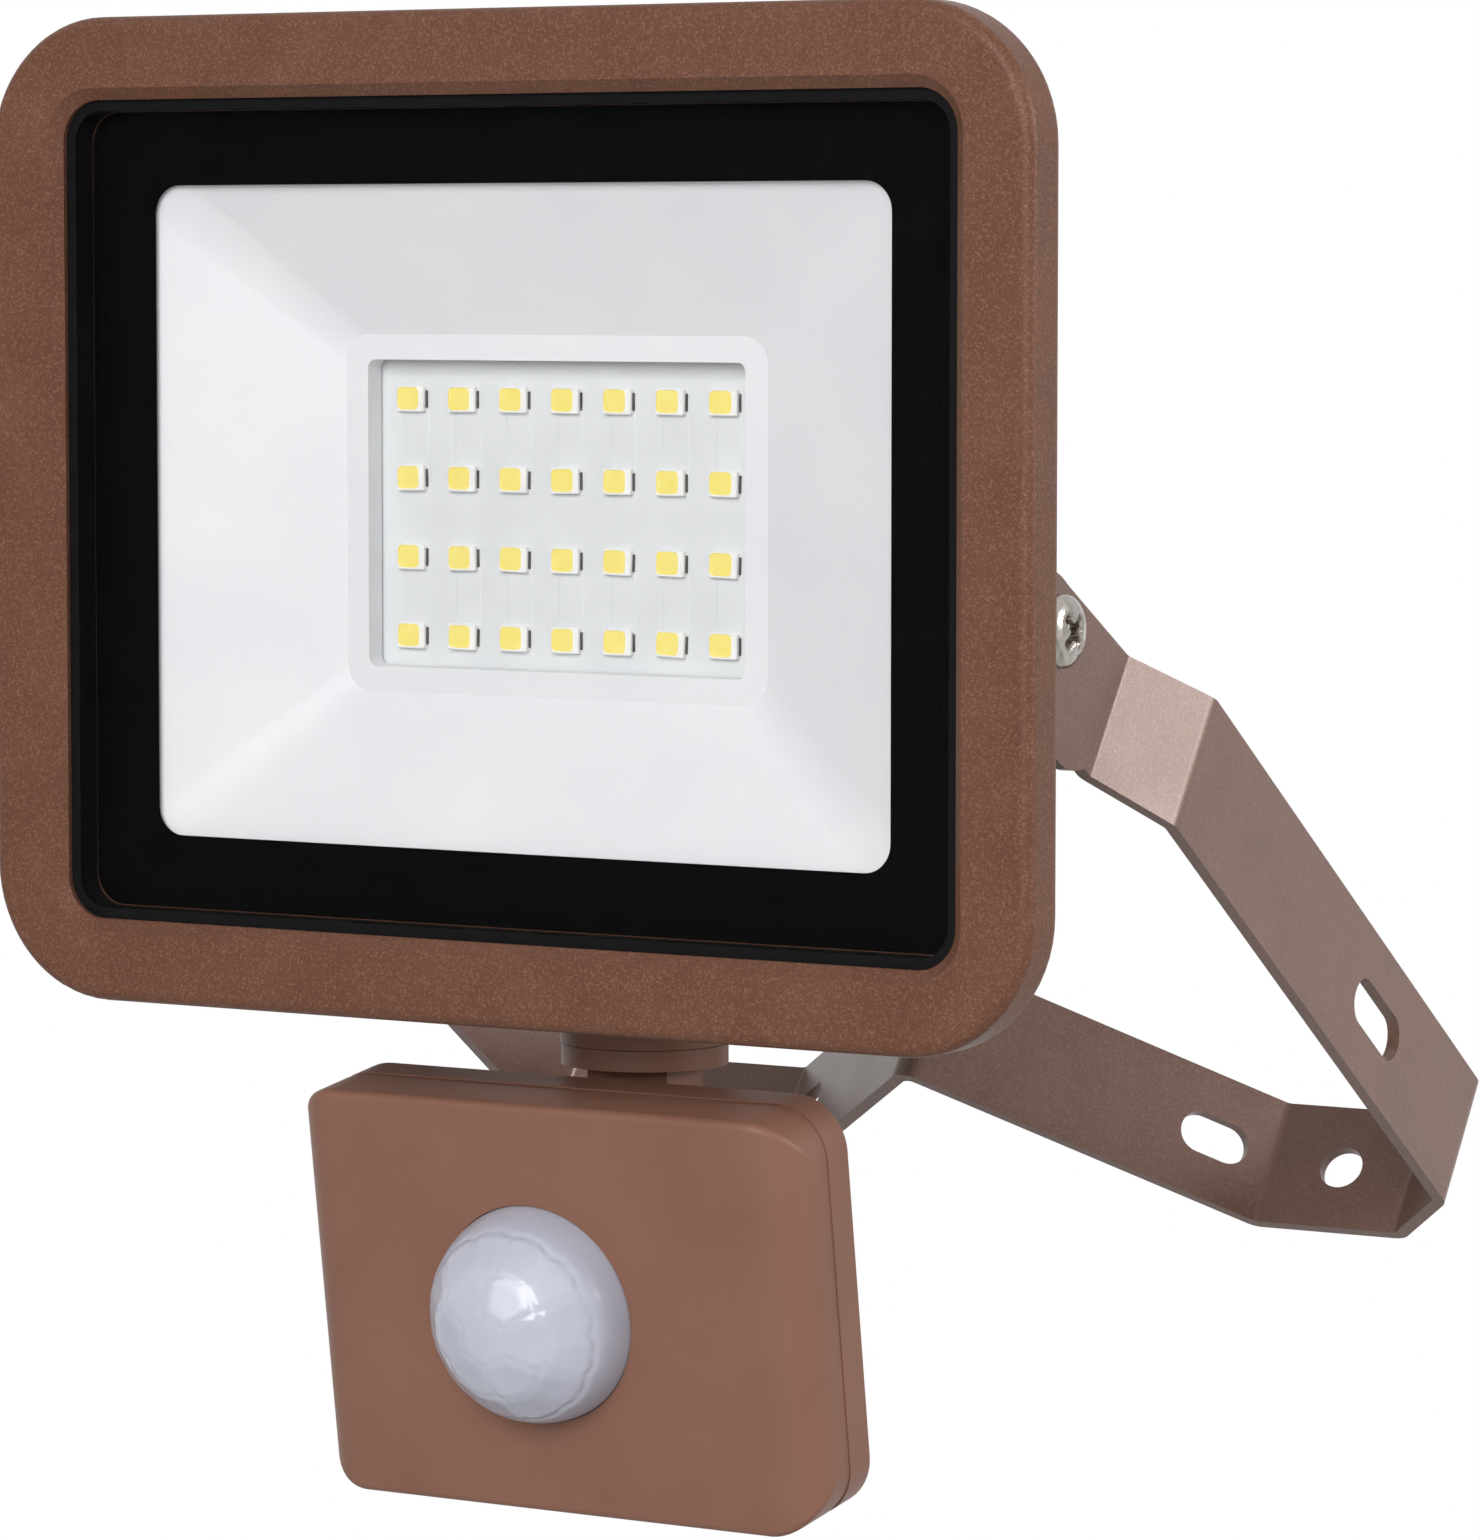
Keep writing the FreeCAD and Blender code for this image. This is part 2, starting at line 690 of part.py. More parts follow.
def make_reflector():
    """White moulded tray: a flange under the glass, sloping walls, a flat lip and a short skirt."""
    body = new_body("reflector", at_lamp)
    wall = mm.reflector_wall
    lip_front = front + mm.lip_depth
    skirt_end = led_front - mm.moving_gap
    skirt_width = mm.window_width + wall * 2
    skirt_height = mm.window_height + wall * 2
    rounded_plate(
        body, "flange", cavity_width - mm.reflector_gap * 2, cavity_height - mm.reflector_gap * 2,
        mm.cavity_corner - mm.reflector_gap, wall, glass_back, centre_z,
    )
    outside = [
        (mm.mouth_width + wall * 2, mm.mouth_height + wall * 2, mm.mouth_corner + wall, glass_back),
        (mm.lip_width + wall * 2, mm.lip_height + wall * 2, mm.lip_corner + wall, lip_front + wall),
    ]
    loft(body, "AdditiveLoft", "walls", outside)
    rounded_plate(
        body, "skirt", skirt_width, skirt_height, mm.window_corner + wall,
        skirt_end - lip_front, lip_front, centre_z,
    )
    inside = [
        (mm.mouth_width, mm.mouth_height, mm.mouth_corner, glass_back),
        (mm.lip_width, mm.lip_height, mm.lip_corner, lip_front),
    ]
    loft(body, "SubtractiveLoft", "hollow", inside)
    rounded_pocket(
        body, "window", mm.window_width, mm.window_height, mm.window_corner,
        skirt_end - lip_front, lip_front, centre_z,
    )


def make_led_board():
    body = new_body("led_board", at_lamp)
    rounded_plate(
        body, "plate", mm.board_width, mm.board_height, mm.window_corner * 2,
        mm.board_thickness, led_front, centre_z,
    )
    hole = mm.board_screw_shank + mm.thread_gap * 2
    round_holes(body, "holes", hole, board_points, mm.board_thickness, led_front, centre_z)
    body = new_body("thermal_pad", at_lamp)
    rounded_plate(
        body, "sheet", mm.board_width, mm.board_height, mm.window_corner * 2,
        mm.pad_thickness, board_back, centre_z,
    )
    round_holes(body, "holes", hole, board_points, mm.pad_thickness, board_back, centre_z)
    body = new_body("board_screws", at_lamp)
    round_rods(
        body, "shanks", mm.board_screw_shank, board_points,
        mm.board_screw_length, led_front, centre_z,
    )
    head_front = led_front - mm.board_screw_rise
    round_rods(
        body, "heads", mm.board_screw_head, board_points, mm.board_screw_rise, head_front, centre_z
    )
    cross_recesses(body, board_points, mm.board_screw_rise / 2, head_front, centre_z, 1)


def make_led_chips():
    """The LED packages in rows and columns, each a small block on the board."""
    body = new_body("led_chips", at_lamp)
    chip_z = centre_z - mm.led_drop
    sketch = new_sketch(body, "outlines", "XZ", 0, led_front, chip_z)
    for column in range(count.columns):
        for row in range(count.rows):
            x = mm.led_column_pitch * (column - (count.columns - 1) / 2)
            z = mm.led_row_pitch * ((count.rows - 1) / 2 - row)
            draw_rectangle(sketch, mm.led_width, mm.led_height, x, z)
    pad(body, "packages", sketch, mm.led_thickness, -1)


def make_driver():
    """The driver board in the box on the back, with its main components."""
    body = new_body("driver_board", at_lamp)
    rounded_plate(
        body, "plate", mm.driver_width, mm.driver_height, mm.window_corner * 2,
        mm.board_thickness, driver_front, box_z,
    )
    hole = mm.case_screw_shank + mm.thread_gap
    round_holes(body, "holes", hole, driver_points, mm.board_thickness, driver_front, box_z)
    body = new_body("driver_transformer", at_lamp)
    plain_block(
        body, "block", mm.transformer_width, mm.transformer_height, mm.transformer_depth,
        -mm.transformer_offset, driver_back, box_z,
    )
    body = new_body("driver_capacitor", at_lamp)
    can = new_sketch(body, "can_circle", "XZ", 0, driver_back, box_z - mm.capacitor_diameter)
    draw_circle(can, mm.capacitor_diameter)
    pad(body, "can", can, mm.capacitor_length)
    body = new_body("terminal_block", at_lamp)
    block_y, block_z = driver_back, box_z - mm.terminal_height / 2
    plain_block(
        body, "block", mm.terminal_width, mm.terminal_height, mm.terminal_depth,
        mm.terminal_offset, block_y, block_z,
    )
    step = mm.terminal_width / 3
    block_back = block_y + mm.terminal_depth
    ports = new_sketch(body, "port_mouths", "XZ", mm.terminal_offset, block_back, block_z)
    draw_circles(ports, mm.port_diameter, [(step * i, 0) for i in (-1, 0, 1)])
    pocket(body, "ports", ports, mm.terminal_depth / 2, -1)
    body = new_body("driver_screws", at_lamp)
    reach = mm.board_thickness + mm.driver_standoff
    start = driver_front - mm.driver_standoff
    round_rods(body, "shanks", mm.case_screw_shank, driver_points, reach, start, box_z)
    round_rods(
        body, "heads", mm.case_screw_head, driver_points, mm.case_screw_rise, driver_back, box_z
    )


def make_rear_cover():
    """The plate that closes the driver box, its seal and its four screws."""
    body = new_body("rear_cover", at_lamp)
    cover = rounded_plate(
        body, "plate", mm.box_width, mm.box_height, mm.box_corner,
        mm.cover_thickness, cover_front, box_z,
    )
    fillet(
        body, "rounding", cover, lambda e: lies_at(e, "Y", cover_back), mm.cover_thickness / 3
    )
    hole = mm.case_screw_shank + mm.thread_gap * 2
    round_holes(body, "holes", hole, cover_points, mm.cover_thickness, cover_front, box_z)
    gland_hole = mm.gland_thread + mm.thread_gap * 2
    round_holes(body, "gland_hole", gland_hole, [(0, 0)], mm.cover_thickness, cover_front, box_z)
    body = new_body("rear_cover_seal", at_lamp)
    ring = new_sketch(body, "ring_outline", "XZ", 0, box_back, box_z)
    draw_rounded(ring, mm.box_width, mm.box_height, mm.box_corner)
    inner = mm.box_wall * 2
    draw_rounded(ring, mm.box_width - inner, mm.box_height - inner, mm.box_corner - mm.box_wall)
    pad(body, "ring", ring, mm.cover_seal_thickness)
    body = new_body("rear_cover_screws", at_lamp)
    reach = mm.cover_thickness + mm.cover_seal_thickness + mm.cover_screw_inset * 1.5
    round_rods(body, "shanks", mm.case_screw_shank, cover_points, reach, cover_back, box_z, -1)
    heads = round_rods(
        body, "heads", mm.case_screw_head, cover_points, mm.case_screw_rise, cover_back, box_z
    )
    head_back = cover_back + mm.case_screw_rise
    edge = mm.case_screw_rise / 3
    fillet(body, "head_rounding", heads, lambda e: lies_at(e, "Y", head_back), edge)
    cross_recesses(body, cover_points, mm.case_screw_rise / 2, head_back, box_z, -1)


def hexagon(sketch, across_flats):
    corner = across_flats / math.sqrt(3)
    turns = [math.radians(60 * i) for i in range(6)]
    draw_polygon(sketch, [(corner * math.cos(a), corner * math.sin(a)) for a in turns])


def make_gland():
    """The cable inlet on the rear cover: body with hexagon, rubber bush, dome nut and lock nut."""
    body = new_body("cable_gland", at_lamp)
    inner = mm.cover_thickness + mm.gland_lock_thickness + mm.cover_seal_thickness
    stem_back = cover_back + mm.gland_flange_thickness + mm.gland_stem_length
    round_rods(body, "thread", mm.gland_thread, [(0, 0)], inner, cover_back, box_z, -1)
    hex_sketch = new_sketch(body, "hexagon", "XZ", 0, cover_back, box_z)
    hexagon(hex_sketch, mm.gland_flange)
    pad(body, "flange", hex_sketch, mm.gland_flange_thickness)
    flange_back = cover_back + mm.gland_flange_thickness
    round_rods(body, "stem", mm.gland_thread, [(0, 0)], mm.gland_stem_length, flange_back, box_z)
    bush_diameter = mm.gland_thread - mm.box_wall
    through = inner + mm.gland_flange_thickness + mm.gland_stem_length
    round_holes(body, "bore", mm.gland_bore, [(0, 0)], through, cover_back - inner, box_z)
    seat = mm.gland_stem_length - mm.strap_thickness
    round_holes(body, "seat", bush_diameter, [(0, 0)], seat, stem_back, box_z, -1)
    body = new_body("gland_bush", at_lamp)
    bush = new_sketch(body, "ring_circles", "XZ", 0, stem_back - seat, box_z)
    draw_circle(bush, bush_diameter)
    draw_circle(bush, mm.gland_bore)
    pad(body, "ring", bush, seat)
    body = new_body("gland_dome_nut", at_lamp)
    nut_front = flange_back + mm.moving_gap
    nut_sketch = new_sketch(body, "hexagon", "XZ", 0, nut_front, box_z)
    hexagon(nut_sketch, mm.gland_flange)
    pad(body, "block", nut_sketch, mm.gland_nut_length / 2)
    dome_y = nut_front + mm.gland_nut_length / 2
    dome_diameter = mm.gland_flange - mm.strap_thickness
    dome = round_rods(body, "dome", dome_diameter, [(0, 0)], mm.gland_nut_length / 2, dome_y, box_z)
    dome_back = dome_y + mm.gland_nut_length / 2
    fillet(body, "dome_rounding", dome, lambda e: lies_at(e, "Y", dome_back), mm.box_wall)
    round_holes(body, "mouth", mm.gland_bore, [(0, 0)], mm.gland_nut_length, nut_front, box_z)
    thread = stem_back - nut_front
    bore = mm.gland_thread + mm.thread_gap
    round_holes(body, "thread", bore, [(0, 0)], thread, nut_front, box_z)
    body = new_body("gland_lock_nut", at_lamp)
    lock = new_sketch(body, "hexagon", "XZ", 0, cover_front, box_z)
    hexagon(lock, mm.gland_flange)
    draw_circle(lock, mm.gland_thread + mm.thread_gap)
    pad(body, "ring", lock, mm.gland_lock_thickness, -1)


def make_pivots():
    """Washers between the lamp's bosses and the bracket's ears, and the two pivot screws."""
    washers = new_body("pivot_washers", at_lamp)
    screws = new_body("pivot_screws", at_lamp)
    for side, name in ((-1, "left"), (1, "right")):
        ring = new_sketch(washers, f"{name}_circles", "YZ", mm.body_width / 2 * side)
        draw_circle(ring, mm.pivot_washer)
        draw_circle(ring, mm.pivot_screw_shank + mm.thread_gap)
        pad(washers, name, ring, mm.washer_thickness - mm.thread_gap, side)
        seat = (ear_outer + mm.thread_gap) * side
        shank = new_sketch(screws, f"{name}_shank_circle", "YZ", seat)
        draw_circle(shank, mm.pivot_screw_shank)
        pad(screws, f"{name}_shank", shank, mm.pivot_screw_length, -side)
        head_sketch = new_sketch(screws, f"{name}_head_circle", "YZ", seat)
        draw_circle(head_sketch, mm.pivot_screw_head)
        head = pad(screws, f"{name}_head", head_sketch, mm.pivot_screw_rise, side)
        top = seat + mm.pivot_screw_rise * side
        fillet(
            screws, f"{name}_rounding", head, lambda e: lies_at(e, "X", top), mm.pivot_screw_rise / 2
        )
        for bar, width, height in (
            ("across", mm.recess_length, mm.recess_width),
            ("upright", mm.recess_width, mm.recess_length),
        ):
            cross = new_sketch(screws, f"{name}_{bar}_outline", "YZ", top)
            draw_rectangle(cross, width, height)
            pocket(screws, f"{name}_{bar}", cross, mm.recess_depth, -side)


def ring_between(body, name, outer, inner, thickness, y, z):
    sketch = new_sketch(body, f"{name}_circles", "XY", 0, y, z)
    draw_circle(sketch, outer)
    draw_circle(sketch, inner)
    return pad(body, name, sketch, thickness)


def make_neck():
    """The collar that is held in the lamp's neck boss by a nut, with its flat seal."""
    bore = mm.swivel_tube + mm.running_fit * 2
    body = new_body("neck_collar", at_lamp)
    length = collar_top - collar_bottom
    ring_between(body, "disc", mm.collar_diameter, bore, length, neck_y, collar_bottom)
    spigot = spigot_top - collar_top
    ring_between(body, "spigot", mm.spigot_diameter, bore, spigot, neck_y, collar_top)
    body = new_body("neck_seal", at_lamp)
    inner = mm.spigot_diameter + mm.thread_gap
    ring_between(
        body, "ring", mm.collar_diameter, inner, mm.neck_seal_thickness, neck_y, collar_top
    )
    body = new_body("neck_nut", at_lamp)
    ring_between(
        body, "ring", mm.neck_nut_diameter, inner, mm.neck_nut_thickness, neck_y, boss_top
    )


def make_swivel():
    """The swivel: disc, hollow shaft through the collar, and a fork for the tilt screw.
    Heights are from the tilt screw's axis."""
    body = new_body("swivel_fork", at_swivel)
    disc_top = collar_bottom - mm.running_fit * 2 - pin_z
    disc_bottom = disc_top - mm.swivel_thickness
    fork = new_sketch(body, "fork_outline", "YZ")
    draw_circle(fork, mm.fork_radius * 2)
    pad(body, "fork_end", fork, mm.fork_width, 0)
    stem = new_sketch(body, "stem_outline", "XY", 0, 0, 0)
    draw_rectangle(stem, mm.fork_width, mm.fork_radius * 2)
    pad(body, "stem", stem, disc_bottom)
    disc = new_sketch(body, "disc_circle", "XY", 0, 0, disc_bottom)
    draw_circle(disc, mm.swivel_diameter)
    pad(body, "disc", disc, mm.swivel_thickness)
    shaft_top = spigot_top - pin_z + mm.running_fit * 2 + mm.swivel_ring_thickness + mm.moving_gap
    shaft = new_sketch(body, "shaft_circle", "XY", 0, 0, disc_top)
    draw_circle(shaft, mm.swivel_tube)
    pad(body, "shaft", shaft, shaft_top - disc_top)
    gap = mm.tongue_width + mm.moving_gap * 2
    slot_top = mm.fork_radius + mm.moving_gap * 2
    slot = new_sketch(body, "slot_outline", "XY", 0, 0, slot_top)
    draw_rectangle(slot, gap, mm.swivel_diameter)
    pocket(body, "slot", slot, slot_top + mm.fork_radius, -1)
    wires = new_sketch(body, "wire_circle", "XY", 0, 0, shaft_top)
    draw_circle(wires, mm.swivel_bore)
    pocket(body, "wire_way", wires, shaft_top - slot_top, -1)
    pin = new_sketch(body, "pin_circle", "YZ")
    draw_circle(pin, mm.pin_diameter + mm.thread_gap)
    pocket(body, "pin_hole", pin, mm.fork_width, 0)
    body = new_body("swivel_ring", at_swivel)
    ring_z = spigot_top - pin_z + mm.running_fit * 2
    ring_between(
        body, "ring", mm.swivel_ring_diameter, mm.swivel_tube, mm.swivel_ring_thickness, 0, ring_z
    )
    half = mm.fork_width / 2
    nut_width = mm.pin_head
    body = new_body("tilt_screw", at_swivel)
    shank = new_sketch(body, "shank_circle", "YZ", half)
    draw_circle(shank, mm.pin_diameter)
    pad(body, "shank", shank, mm.fork_width + mm.pin_head_height, -1)
    head_sketch = new_sketch(body, "head_circle", "YZ", half)
    draw_circle(head_sketch, mm.pin_head)
    head = pad(body, "head", head_sketch, mm.pin_head_height)
    top = half + mm.pin_head_height
    fillet(body, "rounding", head, lambda e: lies_at(e, "X", top), mm.pin_head_height / 3)
    cross = new_sketch(body, "slot_outline", "YZ", top)
    draw_rectangle(cross, mm.pin_head * 0.7, mm.recess_width)
    pocket(body, "slot", cross, mm.pin_head_height / 2, -1)
    body = new_body("tilt_nut", at_swivel)
    nut = new_sketch(body, "hexagon", "YZ", -half)
    hexagon(nut, nut_width)
    draw_circle(nut, mm.pin_diameter)
    pad(body, "ring", nut, mm.pin_head_height, -1)


# ---- sensor head, from the tilt screw's axis --------------------------------------------------
case_back = -mm.sensor_back
case_front = case_back - mm.sensor_depth
case_split = case_front + mm.sensor_split
case_z = mm.sensor_top - mm.sensor_height / 2
case_bottom = mm.sensor_top - mm.sensor_height
inner_width = mm.sensor_width - mm.sensor_wall * 2
inner_height = mm.sensor_height - mm.sensor_wall * 2
inner_corner = mm.sensor_corner - mm.sensor_wall
inner_front = case_front + mm.sensor_wall
sensor_board_front = case_front + mm.sensor_board_depth
case_points = corners_of(
    mm.sensor_width / 2 - mm.case_screw_inset,
    mm.sensor_height / 2 - mm.case_screw_inset,
)
lens_z = case_z - mm.lens_drop
hump_back = case_back + mm.hump_depth
dial_back = hump_back - mm.dial_sink
trimmer_back = dial_back - mm.dial_height - mm.moving_gap
dial_points = [(mm.dial_spacing * i, 0) for i in (-1, 0, 1)]


def make_front_case():
    """The sensor's front half: round upright edges and round corners seen from the front."""
    body = new_body("sensor_front_case", at_sensor)
    half = mm.sensor_width / 2
    plan = new_sketch(body, "plan", "XY", 0, case_front, case_bottom)
    depth = mm.sensor_split
    r = mm.sensor_edge
    draw_polygon(plan, [(-half, depth), (-half, 0), (half, 0), (half, depth)])
    block = pad(body, "block", plan, mm.sensor_height)
    fillet(
        body, "upright_edges", block,
        lambda e: lies_at(e, "Y", case_front) and e.BoundBox.ZLength > r.number, r,
    )
    trim = new_sketch(body, "corner_trim", "XZ", 0, case_front - 1, case_z)
    draw_rectangle(trim, mm.sensor_width * 2, mm.sensor_height * 2)
    draw_rounded(trim, mm.sensor_width, mm.sensor_height, mm.sensor_corner)
    trimmed = pocket(body, "corners", trim, depth * 2)
    fillet(
        body, "front_edges", trimmed,
        lambda e: lies_at(e, "Y", case_front) and e.BoundBox.XLength > r.number,
        mm.sensor_front_edge,
    )
    rounded_pocket(
        body, "hollow", inner_width - mm.sensor_shoulder * 2, inner_height, inner_corner,
        mm.sensor_split - mm.sensor_wall, case_split, case_z, -1,
    )
    round_rods(
        body, "posts", mm.case_post, case_points, mm.sensor_split - mm.sensor_wall,
        inner_front, case_z,
    )
    hole = mm.case_screw_shank + mm.thread_gap
    post_hole = mm.sensor_split - mm.sensor_wall - mm.parting_width
    round_holes(body, "post_holes", hole, case_points, post_hole, case_split, case_z, -1)
    lens_hole = mm.lens_diameter + mm.thread_gap * 2
    lens_place = [(mm.lens_offset, 0)]
    round_holes(body, "lens_hole", lens_hole, lens_place, mm.sensor_wall, case_front, lens_z)


def make_rear_case():
    """The sensor's back half: a step at the parting line, a hump behind it that holds the
    dials, and the tongue for the fork."""
    body = new_body("sensor_rear_case", at_sensor)
    step = mm.parting_depth * 2
    rounded_plate(
        body, "step", mm.sensor_width - step, mm.sensor_height - step,
        mm.sensor_corner - mm.parting_depth, mm.parting_width, case_split, case_z,
    )
    tray_front = case_split + mm.parting_width
    tray = rounded_plate(
        body, "tray", mm.sensor_width, mm.sensor_height, mm.sensor_corner,
        case_back - tray_front, tray_front, case_z,
    )
    fillet(body, "back_edges", tray, lambda e: lies_at(e, "Y", case_back), mm.sensor_back_edge)
    hump = rounded_plate(
        body, "hump", mm.hump_width, mm.hump_height, mm.hump_corner,
        mm.hump_depth, case_back, case_z,
    )
    fillet(body, "hump_edges", hump, lambda e: lies_at(e, "Y", hump_back), mm.hump_edge)
    rounded_pocket(
        body, "hollow", inner_width, inner_height, inner_corner,
        case_back - case_split - mm.sensor_wall, case_split, case_z,
    )
    inner = mm.sensor_wall * 2
    rounded_pocket(
        body, "hump_hollow", mm.hump_width - inner, mm.hump_height - inner,
        mm.hump_corner - mm.sensor_wall,
        hump_back - case_split - mm.sensor_wall, case_split, case_z,
    )
    floor = case_back - mm.sensor_wall
    round_rods(body, "posts", mm.case_post, case_points, floor - case_split, case_split, case_z)
    hole = mm.case_screw_shank + mm.thread_gap * 2
    round_holes(body, "screw_holes", hole, case_points, case_back - case_split, case_split, case_z)
    sink = mm.case_screw_head + mm.thread_gap * 4
    round_holes(body, "head_sinks", sink, case_points, mm.case_screw_rise, case_back, case_z, -1)
    tongue = new_sketch(body, "tongue_circle", "YZ")
    draw_circle(tongue, mm.fork_radius * 2)
    pad(body, "tongue_end", tongue, mm.tongue_width, 0)
    root = new_sketch(body, "root_outline", "YZ")
    root_start = hump_back - mm.sensor_wall / 2
    radius = mm.fork_radius
    draw_polygon(root, [(root_start, -radius), (0, -radius), (0, radius), (root_start, radius)])
    pad(body, "tongue_root", root, mm.tongue_width, 0)
    pin = new_sketch(body, "pin_circle", "YZ")
    draw_circle(pin, mm.pin_diameter + mm.running_fit * 2)
    pocket(body, "pin_hole", pin, mm.tongue_width + 1, 0)
    dials = new_sketch(body, "dial_circles", "XZ", 0, hump_back, -mm.dial_drop)
    draw_circles(dials, mm.dial_diameter + mm.moving_gap * 2, dial_points)
    pocket(body, "dial_holes", dials, mm.sensor_wall, -1)


def bind_part(kind, name, **sizes):
    """A Part primitive with its sizes bound to the sheet."""
    thing = doc.addObject(f"Part::{kind}", name)
    for prop, value in sizes.items():
        set_size(thing, prop.replace("_", "."), value)
    return thing


def make_lens():
    """A thin spherical cap with a short tube and a flange behind the case's front wall."""
    base = mm.lens_diameter / 2
    radius = (base * base + mm.lens_height * mm.lens_height) / (mm.lens_height * 2)
    inner_radius = radius - mm.lens_wall
    centre_y = case_front - mm.lens_height + radius
    outer = bind_part("Sphere", "lens_outer", Radius=radius)
    inner = bind_part("Sphere", "lens_inner", Radius=inner_radius)
    keep = bind_part("Cylinder", "lens_keep", Radius=mm.lens_flange, Height=mm.lens_height * 2)
    tube = bind_part("Cylinder", "lens_tube", Radius=base, Height=mm.sensor_wall)
    flange = bind_part("Cylinder", "lens_disc", Radius=mm.lens_flange / 2, Height=mm.lens_wall)
    starts = (
        (outer, centre_y),
        (inner, centre_y),
        (keep, case_front - mm.lens_height * 2),
        (tube, case_front),
        (flange, inner_front),
    )
    for thing, start in starts:
        thing.Placement.Rotation = FreeCAD.Rotation(Vector(1, 0, 0), -90)
        for axis, value in (("x", mm.lens_offset), ("y", start), ("z", lens_z)):
            set_size(thing, f"Placement.Base.{axis}", value)
    cap = doc.addObject("Part::Common", "lens_cap")
    cap.Base, cap.Tool = outer, keep
    solid = doc.addObject("Part::MultiFuse", "lens_solid")
    solid.Shapes = [cap, tube, flange]
    lens = doc.addObject("Part::Cut", "sensor_lens")
    lens.Base, lens.Tool = solid, inner
    lens.Label = "sensor_lens"
    lens.setExpression("Placement", at_sensor)
    nodes.append(lens)


def make_sensor_inside():
    """The sensor board, the heat-sensing element behind the lens, a relay and a capacitor."""
    body = new_body("sensor_board", at_sensor)
    rounded_plate(
        body, "plate", mm.sensor_board_width, mm.sensor_board_height, mm.window_corner,
        mm.board_thickness, sensor_board_front, case_z,
    )
    body = new_body("pir_element", at_sensor)
    can = new_sketch(body, "can_circle", "XZ", mm.lens_offset, sensor_board_front, lens_z)
    draw_circle(can, mm.pir_diameter)
    can_pad = pad(body, "can", can, mm.pir_height, -1)
    can_front = sensor_board_front - mm.pir_height
    fillet(body, "rounding", can_pad, lambda e: lies_at(e, "Y", can_front), mm.pir_height / 8)
    body = new_body("sensor_relay", at_sensor)
    relay = new_sketch(body, "block_outline", "XZ", mm.relay_offset, sensor_board_front, case_z)
    draw_rectangle(relay, mm.relay_width, mm.relay_height)
    pad(body, "block", relay, mm.relay_depth, -1)
    body = new_body("sensor_capacitor", at_sensor)
    cap_x = mm.lens_offset - mm.lens_flange / 2 - mm.sensor_capacitor / 2
    cap_z = case_z + mm.sensor_capacitor
    cap = new_sketch(body, "can_circle", "XZ", cap_x, sensor_board_front, cap_z)
    draw_circle(cap, mm.sensor_capacitor)
    pad(body, "can", cap, mm.relay_depth, -1)
    body = new_body("sensor_case_screws", at_sensor)
    seat = case_back - mm.case_screw_rise
    round_rods(
        body, "shanks", mm.case_screw_shank, case_points, mm.case_screw_length, seat, case_z, -1
    )
    round_rods(body, "heads", mm.case_screw_head, case_points, mm.case_screw_rise, seat, case_z)
    cross_recesses(body, case_points, mm.case_screw_rise / 2, case_back, case_z, -1)


def make_dials():
    """Three setting dials in the sensor's back, each turning in its own trimmer on the board."""
    board_back_face = sensor_board_front + mm.board_thickness
    body = new_body("dial_trimmers", at_sensor)
    blocks = new_sketch(body, "block_outlines", "XZ", 0, board_back_face, -mm.dial_drop)
    for x, z in dial_points:
        draw_rectangle(blocks, mm.trimmer_width, mm.trimmer_width, x, z)
    pad(body, "blocks", blocks, trimmer_back - board_back_face)
    bore_depth = mm.dial_shaft_length + mm.moving_gap
    bore = mm.dial_shaft + mm.running_fit * 2
    round_holes(body, "bores", bore, dial_points, bore_depth, trimmer_back, -mm.dial_drop, -1)
    for i, name in ((-1, "time_dial"), (0, "light_dial"), (1, "range_dial")):
        spot = (mm.dial_spacing * i, dial_back, -mm.dial_drop)
        body = new_body(name, f"{at_sensor} * {frame(spot, '0; 0; 1', 0)}")
        centre = [(0, 0)]
        round_rods(body, "knob", mm.dial_diameter, centre, mm.dial_height, 0, 0, -1)
        shaft_start = -mm.dial_height
        round_rods(body, "shaft", mm.dial_shaft, centre, mm.dial_shaft_length, shaft_start, 0, -1)
        slot = new_sketch(body, "slot_outline", "XZ")
        draw_rectangle(slot, mm.dial_slot, mm.dial_diameter * 0.8)
        pocket(body, "slot", slot, mm.dial_height / 3, -1)


def strap_path():
    """Middle line of the strap seen from above, from the left ear's pivot to the right one's."""
    t = mm.strap_thickness
    ear_x = ear_inner + t / 2
    leg_x = ear_x + mm.jog_spread
    flat_y = -t / 2
    right = [
        (0, flat_y - mm.peak_height + t),
        (mm.flat_inner, flat_y),
        (mm.flat_inner + mm.flat_width, flat_y),
        (leg_x, -mm.leg_end),
        (leg_x, mm.ear_length + mm.jog_length - mm.pivot_reach),
        (ear_x, mm.ear_length - mm.pivot_reach),
        (ear_x, -mm.pivot_reach),
    ]
    left = [(-as_size(x), y) for x, y in right[:0:-1]]
    return left + right


def bend_side(edge, places):
    """1 for an upright edge in the hollow of a bend, -1 for one outside it, 0 for any other."""
    box = edge.BoundBox
    if not near(box.ZLength, mm.strap_width.number) or box.YMin < places[0].y + 1e-3:
        return 0
    at = Vector(box.Center.x, box.Center.y, 0)
    i = min(range(1, len(places) - 1), key=lambda k: (places[k] - at).Length)
    if (places[i] - at).Length > mm.strap_thickness.number * 2:
        return 0
    before = (places[i] - places[i - 1]).normalize()
    after = (places[i + 1] - places[i]).normalize()
    return 1 if (at - places[i]).dot(after - before) > 0 else -1


